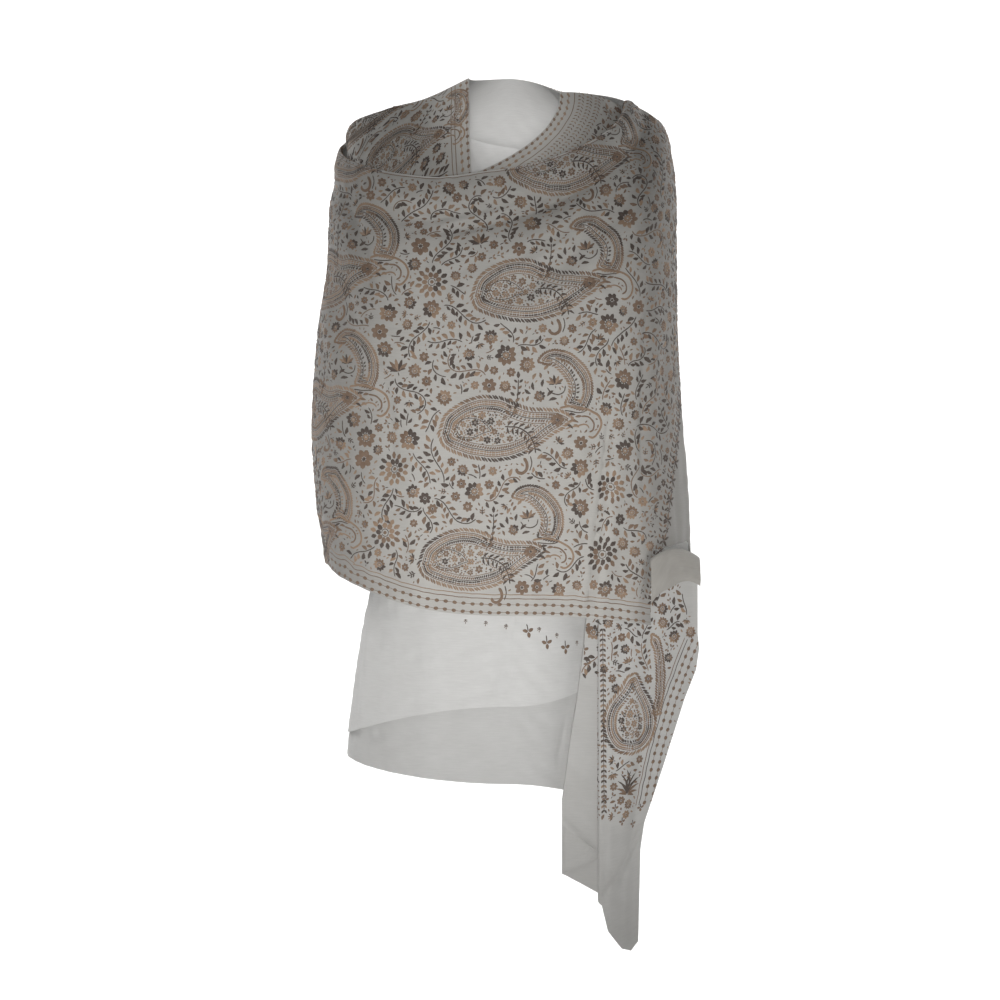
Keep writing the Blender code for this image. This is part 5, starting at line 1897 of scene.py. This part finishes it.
# ------------------------------------------------------------ shown pieces
Piece = namedtuple("Piece", "cloth nodes slot materials held rests_on needlework")
front_active = ~((.5 * (front.us[1:] + front.us[:-1]) > SIDE_SEAM / 100)[:, None]
                 & (.5 * (front.vs[1:] + front.vs[:-1]) > ARM_SIDE_BOTTOM)[None, :])
PIECES = (
    Piece(front, ("front_panel", "left_arm_side"), "embroidered_wool", (front_ground_painted_side_shade,), "draped",
          ("right_shoulder_cloth", "back_cloth"), work_front),
    # The back's inner face takes the neck's lit copy of the wool: painted light.
    Piece(back, ("back_panel",), "plain_wool", (wool_ground, neck_ground_painted_light), "draped", (), work_back),
    Piece(shoulder, ("right_shoulder_fall",), "embroidered_wool", (wool_ground,), "draped",
          ("back_cloth",), work_shoulder),
    Piece(flap, ("left_shoulder_flap",), "embroidered_wool", (wool_ground,), "draped",
          ("back_cloth",), work_flap),
    Piece(neck, ("neck_ply",), "plain_wool", (neck_ground_painted_light,), "draped", (), None),
    Piece(upper, ("under_upper",), "plain_wool", (upper_ply_painted_light_ground,), "hung", ("front_wrap_cloth",),
          work_upper),
    Piece(lower, ("under_lower",), "plain_wool", (low_ply_painted_shade_ground,), "hung", ("under_upper_cloth",), None),
    Piece(hanging, ("hanging_end",), "embroidered_wool", (hanging_painted_shade_ground,), "hung", ("cuff_cloth",),
          work_hanging),
    Piece(pleats, ("hanging_pleats",), "plain_wool", (hanging_painted_shade_ground,), "hung", ("front_wrap_cloth",),
          work_pleats),
    Piece(cuff, ("wrist_cuff",), "plain_wool", (cuff_ground_painted_shade,), "folded", (), None),
)
for piece in PIECES:
    active = front_active if piece.cloth is front else None
    made = shell(piece.cloth, piece.materials, active)
    stitches = piece.needlework() if piece.needlework else []
    for one in [made, *stitches]:
        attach(one, "root")
        piece.slot if one is made else "embroidered_wool"
    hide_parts(*piece.nodes)
    area = sheet_area(piece.cloth.points, active)
    length = float(np.ptp(piece.cloth.up))
    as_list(piece.rests_on)

# -------------------------------------------------------------------- stage
CAMERA_AT = (CAMERA_X, -3.0, CAMERA_Z)
CAMERA_LENS = 81.2
SENSOR = 36.0
FLOOR_Z = -1.42         # a grown wearer's feet below the shoulders
camera_data = bpy.data.cameras.new("camera")
camera_data.lens = CAMERA_LENS
camera_data.sensor_width = SENSOR
camera = bpy.data.objects.new("camera", camera_data)
camera.location = CAMERA_AT
camera.rotation_euler = (math.radians(90), 0, 0)
bpy.context.scene.collection.objects.link(camera)
bpy.context.scene.camera = camera

Lamp = namedtuple("Lamp", "name at aim size power cone")
LAMPS = (
    Lamp("front_lamp", (-.06, -2.9, -.66), (-.05, 0, -.58), .22, 275, 27),
    Lamp("neck_lamp", (-.02, -2.9, .25), (0, .08, .01), .05, 205, 5.0),
    Lamp("left_fill", (-2.6, -1.2, .8), (0, 0, -.4), 2.4, 3, None),
    Lamp("right_fill", (2.6, -1.0, .6), (0, 0, -.4), 2.4, 3, None),
    Lamp("backdrop_left", (-2.4, 1.3, 1.8), (-.3, 3.2, -.3), 1.6, 95, None),
    Lamp("backdrop_right", (2.4, 1.3, 1.8), (.3, 3.2, -.3), 1.6, 95, None),
)
for lamp in LAMPS:
    light = bpy.data.lights.new(lamp.name, "SPOT" if lamp.cone else "AREA")
    if lamp.cone:
        light.spot_size = math.radians(lamp.cone)
        light.spot_blend = 1.0
        light.shadow_soft_size = lamp.size
    else:
        light.size = lamp.size
    light.energy = lamp.power
    holder = bpy.data.objects.new(lamp.name, light)
    holder.location = lamp.at
    aim = Vector(lamp.aim) - Vector(lamp.at)
    holder.rotation_euler = aim.to_track_quat("-Z", "Y").to_euler()
    bpy.context.scene.collection.objects.link(holder)

world = bpy.data.worlds.new("studio")
world.use_nodes = True
world.node_tree.nodes["Background"].inputs["Color"].default_value = (1, 1, 1, 1)
world.node_tree.nodes["Background"].inputs["Strength"].default_value = .15
bpy.context.scene.world = world
bpy.context.scene.view_settings.view_transform = "Standard"


SWEEP_HALF = 6.0        # half the floor's width, how far it comes forward and goes back,
SWEEP_FRONT = -7.0
SWEEP_BACK = 3.2
SWEEP_RADIUS = 1.2      # and the curve between the floor and the back wall
SWEEP_TOP = 4.0


def sweep():
    """Floor that curves up into a back wall."""
    paper = new_material("pale_paper", {"Base Color": (.90, .90, .90, 1), "Roughness": .9,
                                        "Emission Color": (1, 1, 1, 1), "Emission Strength": .12})[0]
    turn = np.linspace(0, math.pi / 2, 25)
    line = [(SWEEP_FRONT, FLOOR_Z)]
    line += [(SWEEP_BACK - SWEEP_RADIUS + SWEEP_RADIUS * math.sin(t),
              FLOOR_Z + SWEEP_RADIUS * (1 - math.cos(t))) for t in turn]
    line += [(SWEEP_BACK, SWEEP_TOP)]
    verts = [(x, y, z) for x in (-SWEEP_HALF, SWEEP_HALF) for y, z in line]
    count = len(line)
    faces = [(k, k + 1, count + k + 1, count + k) for k in range(count - 1)]
    uv = [(x, y) for x, y, _ in verts]
    return new_object("studio_sweep", verts, faces, uv, np.zeros(len(faces), int), [paper])


sweep()
